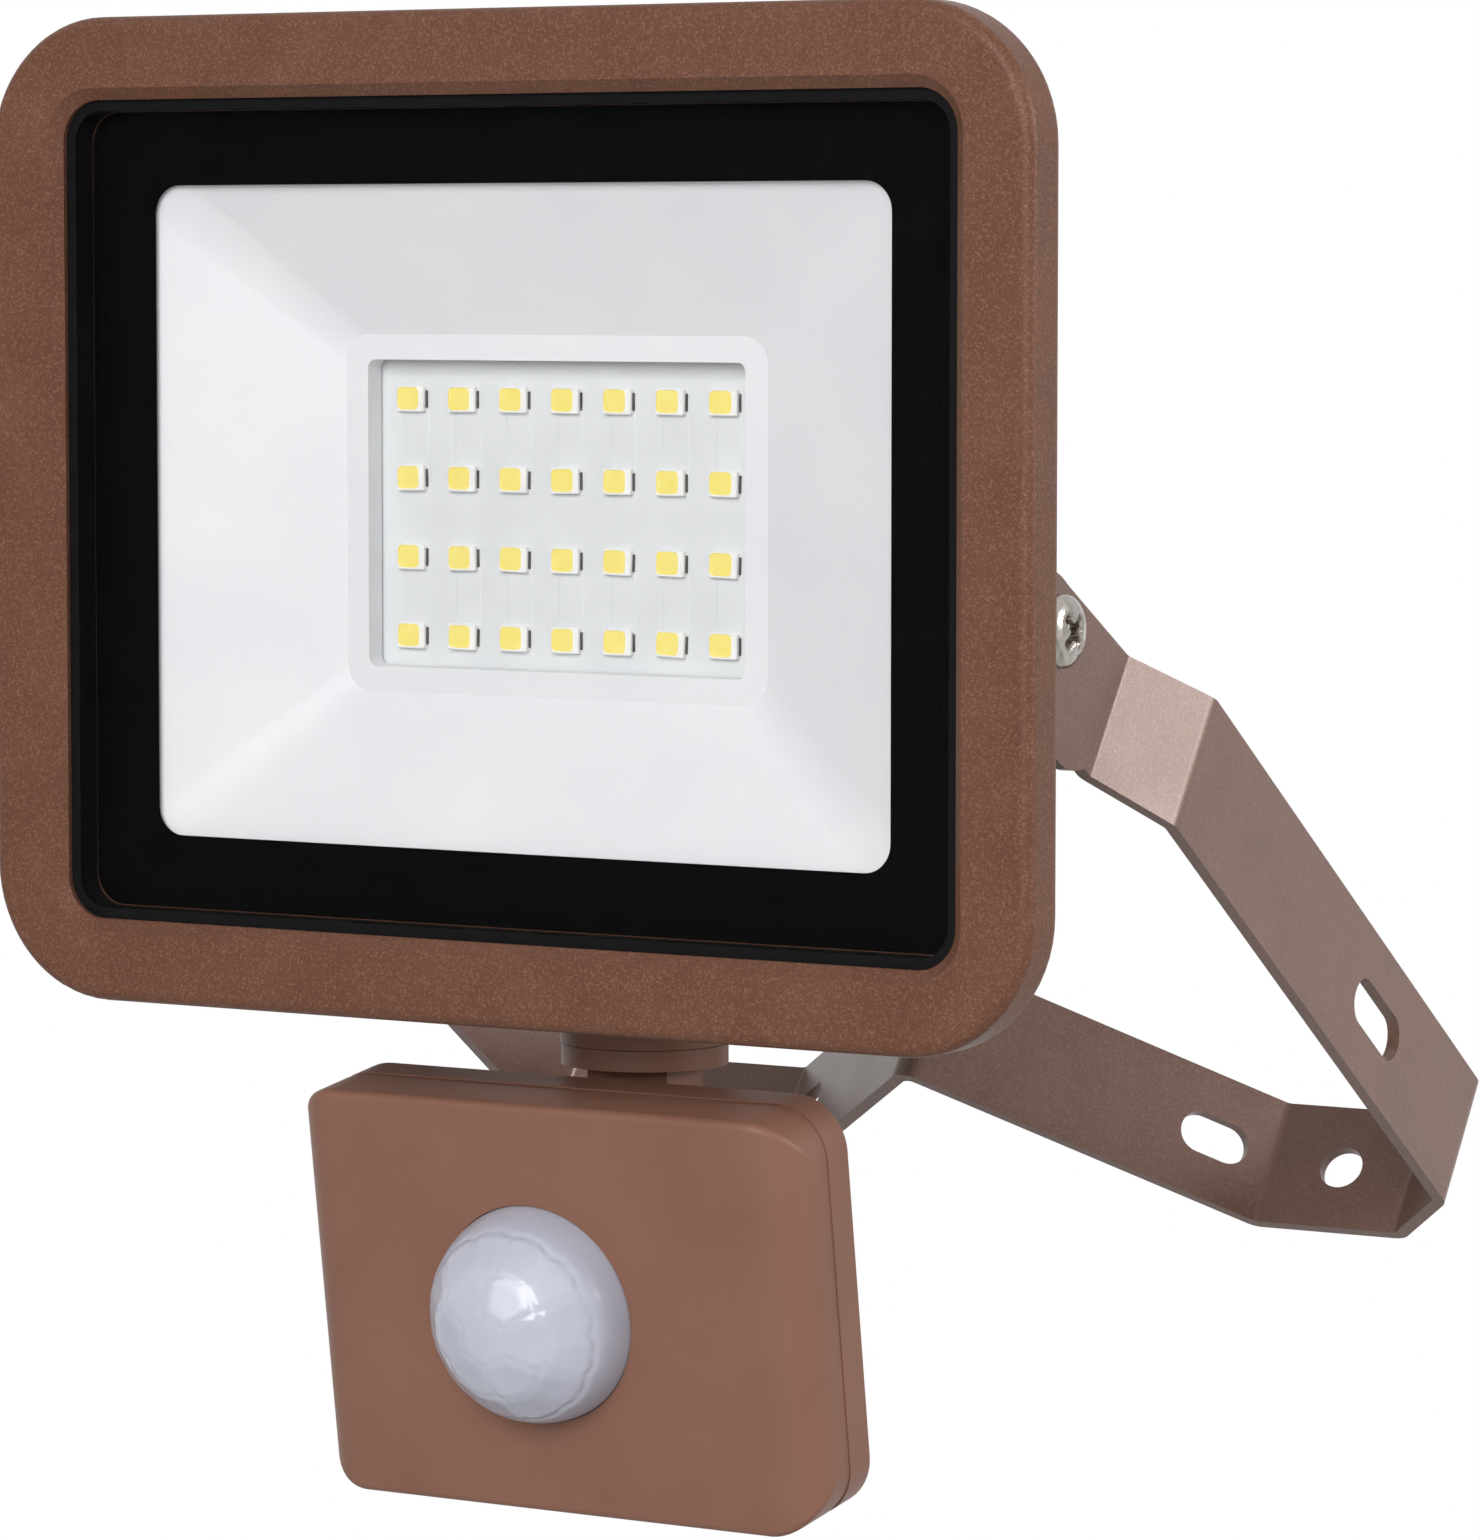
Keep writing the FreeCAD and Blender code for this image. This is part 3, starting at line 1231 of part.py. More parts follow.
def make_bracket():
    """One steel strap bent to an M: ears, jogs, legs, wall flats and the corner notch."""
    body = new_body("mounting_bracket", at_wall)
    t = mm.strap_thickness
    path = new_sketch(body, "path", "XY")
    points = strap_path()
    places = [Vector(as_size(x).number, as_size(y).number, 0) for x, y in points]
    for i in range(len(places) - 1):
        path.addGeometry(Part.LineSegment(places[i], places[i + 1]), False)
    for i in range(len(places) - 2):
        path.addConstraint(Sketcher.Constraint("Coincident", i, 2, i + 1, 1))
    for i, (x, y) in enumerate(points):
        line, end = (i, 1) if i < len(places) - 1 else (i - 1, 2)
        constrain(path, "DistanceX", x, -1, 1, line, end)
        constrain(path, "DistanceY", y, -1, 1, line, end)
    section = new_sketch(body, "section", "XZ", -(ear_inner + t / 2), -mm.pivot_reach, 0)
    draw_rectangle(section, t, mm.strap_width)
    strap = body.newObject("PartDesign::AdditivePipe", "mounting_bracket_strap")
    strap.Profile = (section, [""])
    strap.Spine = (path, [f"Edge{i + 1}" for i in range(len(places) - 1)])
    strap.Transition = "Right corner"
    body.Tip = strap
    doc.recompute()
    hollow = fillet(
        body, "hollow_bends", strap, lambda e: bend_side(e, places) > 0, mm.bend_radius
    )
    bends = fillet(
        body, "outer_bends", hollow, lambda e: bend_side(e, places) < 0, mm.bend_radius + t
    )
    # the strap's upper edge comes down to the ear's own along the jog
    ear_top = mm.ear_width / 2 - mm.ear_drop
    above, jog_end = mm.strap_width, mm.ear_length + mm.jog_length
    taper = new_sketch(body, "taper_outline", "YZ", 0, -mm.pivot_reach, 0)
    taper_points = [
        (-mm.ear_length, ear_top), (0, ear_top), (mm.ear_length, ear_top + mm.ear_rise),
        (jog_end, mm.strap_width / 2), (jog_end, above), (-mm.ear_length, above),
    ]
    draw_polygon(taper, taper_points)
    pocket(body, "taper", taper, (ear_outer + mm.jog_spread) * 2, 0)
    for side, name in ((-1, "left"), (1, "right")):
        ear_y = (mm.ear_tail - mm.ear_nose) / 2 - mm.pivot_reach
        ear = new_sketch(body, f"{name}_ear_outline", "YZ", ear_inner * side, ear_y, -mm.ear_drop)
        draw_slot(ear, mm.ear_nose + mm.ear_tail, mm.ear_width)
        pad(body, f"{name}_ear", ear, t, side)
        bore = new_sketch(body, f"{name}_pivot_circle", "YZ", ear_outer * side, -mm.pivot_reach, 0)
        draw_circle(bore, mm.pivot_screw_shank + mm.running_fit * 2)
        pocket(body, f"{name}_pivot", bore, t, -side)
        leg_x = (ear_inner + t / 2 + mm.jog_spread) * side
        leg = new_sketch(body, f"{name}_leg_slot", "YZ", leg_x, -mm.leg_slot_back, 0)
        draw_slot(leg, mm.leg_slot_length, mm.leg_slot_width)
        pocket(body, f"{name}_leg_hole", leg, t * 3, 0)
        slope = (mm.peak_height - t) / mm.flat_inner
        slot_y = -(mm.flat_inner - mm.corner_slot_offset) * slope - t / 2
        slot_x = mm.corner_slot_offset * side
        corner = new_sketch(body, f"{name}_corner_slot", "XZ", slot_x, slot_y, 0)
        angle = math.degrees(math.atan(slope.number)) * side
        corner.AttachmentOffset = FreeCAD.Placement(
            corner.AttachmentOffset.Base, FreeCAD.Rotation(Vector(0, 1, 0), angle)
        )
        draw_slot(corner, mm.corner_slot_length, mm.corner_slot_width)
        pocket(body, f"{name}_corner_hole", corner, t * 3, 0)
    holes = new_sketch(body, "wall_circles", "XZ", 0, -t, 0)
    half = mm.wall_hole_spacing / 2
    draw_circles(holes, mm.wall_hole, [(-half, 0), (half, 0)])
    pocket(body, "wall_holes", holes, t)
    return bends


make_bracket()
make_housing()
make_glass()
make_reflector()
make_led_board()
make_led_chips()
make_driver()
make_rear_cover()
make_gland()
make_pivots()
make_neck()
make_swivel()
make_front_case()
make_rear_case()
make_lens()
make_sensor_inside()
make_dials()
doc.recompute()

faults = [o.Name for o in doc.Objects if "Invalid" in o.State or "Error" in o.State]
faults += [n.Label for n in nodes if n.Shape.isNull() or not n.Shape.isValid()]
if faults:
    raise RuntimeError("failed objects: " + ", ".join(faults))

os.makedirs("parts", exist_ok=True)
for node in nodes:
    node.Shape.exportStep(f"parts/{node.Label}.step")
    print(node.Label, len(node.Shape.Solids), "solids", round(node.Shape.Volume, 1), "mm3")
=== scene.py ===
import math
import bpy
import numpy as np
from mathutils import Matrix, Vector


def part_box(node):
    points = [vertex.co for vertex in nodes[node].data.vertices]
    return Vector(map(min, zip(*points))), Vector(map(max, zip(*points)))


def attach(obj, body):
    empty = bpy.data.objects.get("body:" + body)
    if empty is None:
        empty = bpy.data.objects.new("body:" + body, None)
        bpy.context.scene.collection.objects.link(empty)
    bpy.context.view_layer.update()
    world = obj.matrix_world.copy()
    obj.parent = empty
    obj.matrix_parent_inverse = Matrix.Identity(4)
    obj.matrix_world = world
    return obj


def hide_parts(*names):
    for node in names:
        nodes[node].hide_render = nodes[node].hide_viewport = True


# A brown LED flood lamp on a bent strap bracket, with a sensor head hanging below it.
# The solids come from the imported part; this script gives them finishes, and adds the
# printed border of the glass, the LED packages, the board's traces, the screw heads and the
# faceted lens.
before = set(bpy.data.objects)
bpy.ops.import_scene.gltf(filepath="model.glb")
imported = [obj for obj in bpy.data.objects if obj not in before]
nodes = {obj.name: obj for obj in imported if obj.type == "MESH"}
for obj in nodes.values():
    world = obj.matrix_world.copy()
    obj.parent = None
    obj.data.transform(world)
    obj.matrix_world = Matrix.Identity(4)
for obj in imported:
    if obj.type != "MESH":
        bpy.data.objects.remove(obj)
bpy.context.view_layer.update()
print("frame loaded,", len(nodes), "nodes")


# turns an sRGB hex colour into linear red, green, blue and alpha
def hexColour(text):
    parts = [int(text[i:i + 2], 16) / 255 for i in (1, 3, 5)]
    return (*[c / 12.92 if c <= 0.04045 else ((c + 0.055) / 1.055) ** 2.4 for c in parts], 1)


# adds a node to a material or world: settings are its properties, inputs its sockets by name
# or number, each a value or another node's output, which is linked
def addNode(owner, kind, inputs=None, **settings):
    made = owner.node_tree.nodes.new(kind)
    for name, value in settings.items():
        setattr(made, name, value)
    for key, value in (inputs or {}).items():
        if isinstance(value, bpy.types.NodeSocket):
            owner.node_tree.links.new(value, made.inputs[key])
        else:
            made.inputs[key].default_value = value
    return made


# a point of a leaning head, in millimetres from its own origin, turned about the X axis by
# lean and moved to its pin, gives a point of the row frame in metres
def placed(points, head):
    turn, p = math.radians(head["lean"]), np.asarray(points, float) - head["own"]
    y = p[..., 1] * math.cos(turn) - p[..., 2] * math.sin(turn)
    z = p[..., 1] * math.sin(turn) + p[..., 2] * math.cos(turn)
    return (np.stack([p[..., 0], y, z], -1) + head["pin"]) / 1000


# the lamp's own origin is the middle of the rim's front plane; the sensor's is its tilt pin
lampHead = {"lean": 35.2, "own": (0, 22.6, -11.2), "pin": (0, -122.5, 0)}
sensorHead = {"lean": 43.5, "own": (0, 0, 0), "pin": placed((0, 32.2, -71.6), lampHead) * 1000}


# quads between neighbouring rings of points, each ring closed on itself
def ringFaces(rings, count):
    start = np.arange(rings - 1)[:, None] * count
    here, following = np.arange(count), (np.arange(count) + 1) % count
    a, b = start + here, start + following
    return np.stack([a, b, b + count, a + count], -1).reshape(-1, 4)


# puts points and faces into a mesh; where the enclosed volume comes out negative the faces
# are reversed, so that they all look outwards
def makePiece(name, points, faces, materials, body, marks=None, sharp=30):
    points = np.asarray(points, float).reshape(-1, 3)
    corners = [points[[f[i] for f in faces]] for i in (0, 1, 2)]
    volume = np.einsum("ij,ij->i", corners[0], np.cross(corners[1], corners[2])).sum()
    fours = [f for f in faces if len(f) > 3]
    if fours:
        rest = [points[[f[i] for f in fours]] for i in (0, 2, 3)]
        volume += np.einsum("ij,ij->i", rest[0], np.cross(rest[1], rest[2])).sum()
    if volume < 0:
        faces = [list(reversed(f)) for f in faces]
    mesh = bpy.data.meshes.new(name)
    mesh.from_pydata(points.tolist(), [], [list(map(int, f)) for f in faces])
    for material in materials:
        mesh.materials.append(material)
    if marks is not None:
        mesh.polygons.foreach_set("material_index", np.asarray(marks, np.int32))
    mesh.polygons.foreach_set("use_smooth", np.ones(len(faces), bool))
    mesh.set_sharp_from_angle(angle=math.radians(sharp))
    mesh.update()
    piece = bpy.data.objects.new(name, mesh)
    bpy.context.scene.collection.objects.link(piece)
    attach(piece, body)
    return piece


# a rounded rectangle as points: each corner is a quarter circle of the radius, and the
# straight sides run between them; the outline is centred on middle, in the x and z axes
def roundedOutline(width, height, radius, steps, middle=(0, 0)):
    turn = (np.arange(4)[:, None] + np.linspace(0, 1, steps)[None]) * math.pi / 2
    sideX, sideZ = np.array([1, -1, -1, 1])[:, None], np.array([1, 1, -1, -1])[:, None]
    x = middle[0] + sideX * (width / 2 - radius) + radius * np.cos(turn)
    z = middle[1] + sideZ * (height / 2 - radius) + radius * np.sin(turn)
    return np.stack([x.ravel(), z.ravel()], -1)


# the parts of a noise's range that are stretched to run from none to all
noiseSpan = {"mottle": (0.3, 0.7), "fleck": (0.62, 0.98)}


# the common build-up of a finish: soft mottling between two tones, a finer grain that drives
# the bump, and a roughness that wanders between two values
def finish(name, look):
    low, high = noiseSpan["mottle"]
    mat = bpy.data.materials.new(name)
    mat.use_nodes = True
    shader = mat.node_tree.nodes["Principled BSDF"]
    for socket, value in look.get("shader", {}).items():
        shader.inputs[socket].default_value = value
    place = addNode(mat, "ShaderNodeTexCoord").outputs["Object"]
    mottle = addNode(mat, "ShaderNodeTexNoise", {
        "Vector": place, "Scale": 1000 / look["mottleMm"], "Detail": 3.0, "Roughness": 0.55,
    }).outputs["Fac"]
    spread = addNode(mat, "ShaderNodeMapRange", {
        "Value": mottle, "From Min": low, "From Max": high}).outputs["Result"]
    colour = addNode(mat, "ShaderNodeMix", {
        0: spread, 6: hexColour(look["tones"][0]), 7: hexColour(look["tones"][1]),
    }, data_type="RGBA").outputs[2]
    grain = addNode(mat, "ShaderNodeTexNoise", {
        "Vector": place, "Scale": 1000 / look["grainMm"], "Detail": 2.0, "Roughness": 0.6,
    }).outputs["Fac"]
    if "fleckMm" in look:
        # metal flakes under the lacquer: a few cells in many are lighter or darker
        cells = addNode(mat, "ShaderNodeTexVoronoi", {
            "Vector": place, "Scale": 1000 / look["fleckMm"]}).outputs["Color"]
        pick = addNode(mat, "ShaderNodeSeparateColor", {0: cells})
        few, many = noiseSpan["fleck"]
        for channel, tone in enumerate((look["fleckLight"], look["fleckDark"])):
            share = addNode(mat, "ShaderNodeMapRange", {
                "Value": pick.outputs[channel], "From Min": few, "From Max": many,
                "To Max": look["fleckAmount"]}).outputs["Result"]
            colour = addNode(mat, "ShaderNodeMix", {
                0: share, 6: colour, 7: hexColour(tone)}, data_type="RGBA").outputs[2]
    rough = addNode(mat, "ShaderNodeMapRange", {
        "Value": mottle, "From Min": low, "From Max": high,
        "To Min": look["rough"][0], "To Max": look["rough"][1]}).outputs["Result"]
    bump = addNode(mat, "ShaderNodeBump", {
        "Height": grain, "Strength": 1.0, "Distance": look["bumpMm"] / 1000,
    }).outputs["Normal"]
    for socket, value in (("Base Color", colour), ("Roughness", rough), ("Normal", bump)):
        mat.node_tree.links.new(value, shader.inputs[socket])
    return mat


# gives all slots of the named nodes one material
def dress(material, *names):
    for name in names:
        for place in nodes[name].material_slots:
            place.material = material


# bronze-brown polyester powder coat on die-cast aluminium: a fine grain of about 0.3 mm with
# small metal flakes reads as a warm sandy satin
castCoat = finish("powderCoatedCast", {
    "tones": ("#5F3D2E", "#664434"), "mottleMm": 9, "grainMm": 0.32, "bumpMm": 0.03,
    "fleckMm": 0.2, "fleckLight": "#B58E75", "fleckDark": "#4A2E23", "fleckAmount": 0.18,
    "rough": (0.42, 0.5), "shader": {"Metallic": 0.1, "Specular IOR Level": 0.18},
})
dress(castCoat, "housing", "rear_cover")

# the same powder on smooth rolled steel strip: flatter, so it looks paler and more silky
steelCoat = finish("powderCoatedStrip", {
    "tones": ("#694D42", "#72554A"), "mottleMm": 11, "grainMm": 0.3, "bumpMm": 0.012,
    "fleckMm": 0.18, "fleckLight": "#B59A8C", "fleckDark": "#5E463B", "fleckAmount": 0.16,
    "rough": (0.3, 0.36), "shader": {"Metallic": 0.1, "Specular IOR Level": 0.4},
})
dress(steelCoat, "mounting_bracket")

# moulded brown ABS of the sensor head: a fine spark-eroded satin, softly mottled
brownAbs = finish("mouldedBrownAbs", {
    "tones": ("#7A5546", "#805B4B"), "mottleMm": 14, "grainMm": 0.3, "bumpMm": 0.006,
    "rough": (0.42, 0.5), "shader": {"IOR": 1.54, "Specular IOR Level": 0.22},
})
dress(brownAbs, "sensor_front_case", "sensor_rear_case", "neck_collar", "swivel_fork")

# black silicone rubber, pressed in a mould: nearly matt, with a dusty bloom
blackSilicone = finish("pressedBlackSilicone", {
    "tones": ("#060607", "#0F0F10"), "mottleMm": 3, "grainMm": 0.4, "bumpMm": 0.01,
    "rough": (0.55, 0.75), "shader": {"IOR": 1.41, "Specular IOR Level": 0.12},
})
dress(blackSilicone, "glass_seal", "rear_cover_seal", "neck_seal", "gland_bush")

# glossy white polycarbonate of the reflector, vacuum-smooth: faint flow marks only
whitePc = finish("mouldedWhitePolycarbonate", {
    "tones": ("#E3E4E7", "#E9EAEC"), "mottleMm": 22, "grainMm": 1.6, "bumpMm": 0.004,
    "rough": (0.28, 0.36), "shader": {"IOR": 1.58, "Specular IOR Level": 0.35},
})
dress(whitePc, "reflector")

# white solder mask over the aluminium board: chalky, its weave just felt under the gloss
whiteMask = finish("whiteSolderMask", {
    "tones": ("#DBDDDF", "#E1E3E4"), "mottleMm": 6, "grainMm": 0.5, "bumpMm": 0.004,
    "rough": (0.45, 0.6), "shader": {"IOR": 1.5, "Specular IOR Level": 0.3},
})
dress(whiteMask, "led_board")

# zinc-plated and bright nickel-plated steel, tumbled: fine handling marks in the plating
platedSteel = finish("nickelPlatedSteel", {
    "tones": ("#A9A6A2", "#CFCBC5"), "mottleMm": 2.2, "grainMm": 0.5, "bumpMm": 0.01,
    "rough": (0.16, 0.34), "shader": {"Metallic": 1.0},
})
dress(platedSteel, "rear_cover_screws", "board_screws", "driver_screws",
      "sensor_case_screws", "tilt_screw", "tilt_nut", "swivel_ring")

# natural nylon washers, turned from rod: waxy off-white
nylon = finish("turnedNylon", {
    "tones": ("#B9B2A8", "#C9C4BA"), "mottleMm": 3, "grainMm": 0.4, "bumpMm": 0.008,
    "rough": (0.4, 0.55), "shader": {"IOR": 1.53},
})
dress(nylon, "pivot_washers")

# black polyamide of the gland, nuts and dials: moulded with a fine matt texture
blackNylon = finish("mouldedBlackPolyamide", {
    "tones": ("#151516", "#1F1F21"), "mottleMm": 5, "grainMm": 0.35, "bumpMm": 0.015,
    "rough": (0.42, 0.58), "shader": {"IOR": 1.53, "Specular IOR Level": 0.4},
})
dress(blackNylon, "cable_gland", "gland_dome_nut", "gland_lock_nut", "neck_nut",
      "time_dial", "light_dial", "range_dial")

# green solder mask over glass-fibre board: the fibre's weave shows as fine mottling
greenBoard = finish("greenSolderMask", {
    "tones": ("#0F4A26", "#17602F"), "mottleMm": 1.2, "grainMm": 0.4, "bumpMm": 0.01,
    "rough": (0.28, 0.42), "shader": {"IOR": 1.5},
})
dress(greenBoard, "driver_board", "sensor_board")

# dark wrapping tape and potting of the wound parts
darkPlastic = finish("pottedDarkPlastic", {
    "tones": ("#1B1B20", "#2A2A30"), "mottleMm": 4, "grainMm": 0.6, "bumpMm": 0.02,
    "rough": (0.35, 0.55), "shader": {"IOR": 1.5},
})
dress(darkPlastic, "driver_transformer", "sensor_capacitor", "sensor_relay")

# drawn aluminium cans: satin with fine draw marks
drawnCan = finish("drawnAluminiumCan", {
    "tones": ("#A8AAAD", "#C2C4C6"), "mottleMm": 1.5, "grainMm": 0.25, "bumpMm": 0.008,
    "rough": (0.25, 0.4), "shader": {"Metallic": 1.0},
})
dress(drawnCan, "driver_capacitor", "pir_element")

# moulded green terminal block and blue trimmers
greenPlastic = finish("mouldedGreenPolyamide", {
    "tones": ("#1F7A3D", "#268C48"), "mottleMm": 5, "grainMm": 0.4, "bumpMm": 0.01,
    "rough": (0.35, 0.5), "shader": {"IOR": 1.53},
})
dress(greenPlastic, "terminal_block")
bluePlastic = finish("mouldedBluePolyester", {
    "tones": ("#1D3E86", "#274C9A"), "mottleMm": 4, "grainMm": 0.3, "bumpMm": 0.01,
    "rough": (0.3, 0.45), "shader": {"IOR": 1.55},
})
dress(bluePlastic, "dial_trimmers")

# soft grey silicone pad filled with ceramic powder
greyPad = finish("filledGreySilicone", {
    "tones": ("#74757A", "#85868A"), "mottleMm": 1.5, "grainMm": 0.4, "bumpMm": 0.02,
    "rough": (0.6, 0.8), "shader": {"IOR": 1.41, "Specular IOR Level": 0.3},
})
dress(greyPad, "thermal_pad")


# toughened clear float glass: almost all light goes straight through, and a small share, by
# the Fresnel law, mirrors the surroundings; faint wiping marks vary the gloss
def clearGlass(look):
    mat = bpy.data.materials.new("toughenedFloatGlass")
    mat.use_nodes = True
    tree = mat.node_tree
    tree.nodes.remove(tree.nodes["Principled BSDF"])
    place = addNode(mat, "ShaderNodeTexCoord").outputs["Object"]
    marks = addNode(mat, "ShaderNodeTexNoise", {
        "Vector": place, "Scale": 1000 / look["wipeMm"], "Detail": 4.0}).outputs["Fac"]
    rough = addNode(mat, "ShaderNodeMapRange", {
        "Value": marks, "To Min": look["rough"][0], "To Max": look["rough"][1]}).outputs["Result"]
    clear = addNode(mat, "ShaderNodeBsdfTransparent", {"Color": hexColour(look["tint"])})
    gloss = addNode(mat, "ShaderNodeBsdfGlossy", {
        "Color": hexColour("#FFFFFF"), "Roughness": rough})
    facing = addNode(mat, "ShaderNodeFresnel", {"IOR": look["ior"]}).outputs["Fac"]
    share = addNode(mat, "ShaderNodeMath", {0: facing, 1: look["share"]}, operation="MULTIPLY")
    both = addNode(mat, "ShaderNodeMixShader", {
        0: share.outputs[0], 1: clear.outputs[0], 2: gloss.outputs[0]})
    tree.links.new(both.outputs[0], tree.nodes["Material Output"].inputs["Surface"])
    return mat


glass = {"tint": "#FAFAFA", "ior": 1.5, "share": 0.04, "wipeMm": 30, "rough": (0.02, 0.06)}
dress(clearGlass(glass), "front_glass")
print("node finishes made")


# black ceramic ink, screen printed and fired: dense, with tiny pinholes in its gloss
blackInk = finish("firedBlackInk", {
    "tones": ("#040405", "#070708"), "mottleMm": 4, "grainMm": 0.3, "bumpMm": 0.003,
    "rough": (0.3, 0.45), "shader": {"Specular IOR Level": 0.02},
})
border = {"outer": (110.6, 88.2, 3.6), "window": (93.6, 72.0, 3.2), "depth": 5.02, "film": 0.06,
          "steps": 14}


# a flat frame: the rounded outline of the glass and that of the window, each at the film's
# front and back, joined in a closed ring of four outlines
def buildBorder(look):
    outer = roundedOutline(*look["outer"], look["steps"])
    inner = roundedOutline(*look["window"], look["steps"])
    front, back = look["depth"], look["depth"] + look["film"]
    rings = [np.insert(o, 1, y, axis=1) for o, y in
             ((outer, front), (inner, front), (inner, back), (outer, back))]
    count = len(outer)
    faces = ringFaces(len(rings) + 1, count) % (len(rings) * count)
    return makePiece("printedBorder", placed(np.array(rings), lampHead), faces.tolist(),
                     [blackInk], "lamp")


buildBorder(border)
print("glass border made")


# white epoxy frame, silicone with yellow phosphor, and tinned lead frame ends toned darker than
# tin as painted shade of the gap beside each package
whiteResin = finish("mouldedWhiteEpoxy", {
    "tones": ("#EFEFEC", "#F7F6F2"), "mottleMm": 2, "grainMm": 0.3, "bumpMm": 0.004,
    "rough": (0.35, 0.45), "shader": {"IOR": 1.5},
})
phosphor = finish("phosphorSilicone", {
    "tones": ("#F5E277", "#F8E98A"), "mottleMm": 1.3, "grainMm": 0.2, "bumpMm": 0.006,
    "rough": (0.4, 0.6), "shader": {"IOR": 1.41, "Specular IOR Level": 0.3},
})
leadEndsPaintedGapShade = finish("leadFrameWithPaintedGapShade", {
    "tones": ("#4E4D4B", "#6B6966"), "mottleMm": 0.8, "grainMm": 0.2, "bumpMm": 0.01,
    "rough": (0.3, 0.45), "shader": {"Metallic": 0.8},
})
led = {"columns": 7, "rows": 4, "pitch": (6.7, 8.7), "drop": 0.5, "board": 16.3,
       "size": (3.5, 2.8), "thick": 0.8, "chamfer": 0.12, "shoulder": 0.2, "corner": 0.2,
       "window": (2.76, 2.48), "windowShift": (-0.26, 0.07), "sink": 0.1,
       "windowCorner": 0.5, "floorInset": 0.12, "floorCorner": 0.45, "lead": (0.16, 1.9, 0.3),
       "steps": 3, "domed": 0.5, "seed": 7, "lean": 0.018}


# each package is a stack of rounded outlines: base, shoulder, chamfered top, window rim and
# window floor, closed by a slightly domed middle; the same stack is repeated at every place
def buildLeds(look):
    w, h, top = *look["size"], -look["thick"]
    shift, corner, less = look["windowShift"], look["corner"], look["shoulder"]
    openW, openH, inset = *look["window"], look["floorInset"]
    stack = [
        (w, h, corner, 0.0, (0, 0)), (w, h, corner, top + look["chamfer"], (0, 0)),
        (w - less, h - less, corner, top, (0, 0)),
        (openW, openH, look["windowCorner"], top, shift),
        (openW - inset, openH - inset, look["floorCorner"], top + look["sink"], shift),
    ]
    rings = np.array([np.insert(roundedOutline(a, b, r, look["steps"], middle), 1, y, axis=1)
                      for a, b, r, y, middle in stack])
    count = rings.shape[1]
    crown = (shift[0], top + look["sink"] * look["domed"], shift[1])
    package = np.vstack([rings.reshape(-1, 3), [crown]])
    # three bands of white resin, then the window's wall and its floor of phosphor
    faces = ringFaces(len(stack), count).tolist()
    marks = [0] * (3 * count) + [1] * count
    last, ring = len(package) - 1, (len(stack) - 1) * count
    faces += [[ring + i, ring + (i + 1) % count, last] for i in range(count)]
    marks += [1] * count
    faces.append(list(range(count))[::-1])
    marks.append(0)
    # the two lead ends are small blocks at the package's sides; their dark tone is partly the
    # metal and partly painted shade of the gap between package and board
    a, b, c = look["lead"]
    cube = np.array([(x, y, z) for x in (0, a) for y in (-c, 0) for z in (-b / 2, b / 2)])
    sides = [[0, 1, 3, 2], [4, 6, 7, 5], [0, 4, 5, 1], [2, 3, 7, 6], [0, 2, 6, 4], [1, 5, 7, 3]]
    for x in (w / 2, -w / 2 - a):
        faces += [[len(package) + i for i in f] for f in sides]
        marks += [2] * 6
        package = np.vstack([package, cube + (x, 0, 0)])
    column, row = np.meshgrid(np.arange(look["columns"]), np.arange(look["rows"]))
    middles = np.stack([
        (column.ravel() - (look["columns"] - 1) / 2) * look["pitch"][0],
        np.full(column.size, look["board"]),
        ((look["rows"] - 1) / 2 - row.ravel()) * look["pitch"][1] - look["drop"]], -1)
    # hand placing and solder pull turn each package a little
    lean = np.random.default_rng(look["seed"]).normal(0, look["lean"], column.size)
    x, z = package[None, :, 0], package[None, :, 2]
    turnedX = x * np.cos(lean)[:, None] - z * np.sin(lean)[:, None]
    turnedZ = x * np.sin(lean)[:, None] + z * np.cos(lean)[:, None]
    y = np.broadcast_to(package[None, :, 1], turnedX.shape)
    points = np.stack([turnedX, y, turnedZ], -1) + middles[:, None]
    everyFace = [[i + n * len(package) for i in f] for n in range(column.size) for f in faces]
    return makePiece("ledPackages", placed(points, lampHead), everyFace,
                     [whiteResin, phosphor, leadEndsPaintedGapShade], "lamp",
                     marks * column.size)


leds = buildLeds(led)
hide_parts("led_chips")
print("LED packages made")

trace = {"rows": ((0, 1), (2, 3)), "width": 3.3, "shift": 0.45, "height": 0.07, "clear": 1.1,
         "edge": 0.3, "steps": 5}


# copper under the solder mask between two rows of packages: a flat ribbon whose height rises
# at each long edge as the sine of a quarter turn; one ribbon per column and pair of rows
def buildTraces(look, around):
    turn = np.linspace(0, math.pi / 2, look["steps"])
    rise, inset = look["height"] * np.sin(turn), look["edge"] * (1 - np.cos(turn))
    across = np.concatenate([-look["width"] / 2 + inset, (look["width"] / 2 - inset)[::-1]])
    above = np.concatenate([rise, rise[::-1]])
    points, faces = [], []
    for column in range(around["columns"]):
        for upper, lower in look["rows"]:
            x = (column - (around["columns"] - 1) / 2) * around["pitch"][0] + look["shift"]
            middle = (around["rows"] - 1) / 2
            top = (middle - upper) * around["pitch"][1] - around["drop"] - look["clear"]
            low = (middle - lower) * around["pitch"][1] - around["drop"] + look["clear"]
            start, count = len(points), len(across)
            for z in (top, low):
                points += [(x + a, around["board"] - b, z) for a, b in zip(across, above)]
            faces += [[start + i, start + (i + 1) % count, start + count + (i + 1) % count,
                       start + count + i] for i in range(count)]
            faces += [[start + i for i in range(count)][::-1],
                      [start + count + i for i in range(count)]]
    return makePiece("boardTraces", placed(np.array(points), lampHead), faces, [whiteMask], "lamp",
                     sharp=60)


buildTraces(trace, led)
print("board traces made")
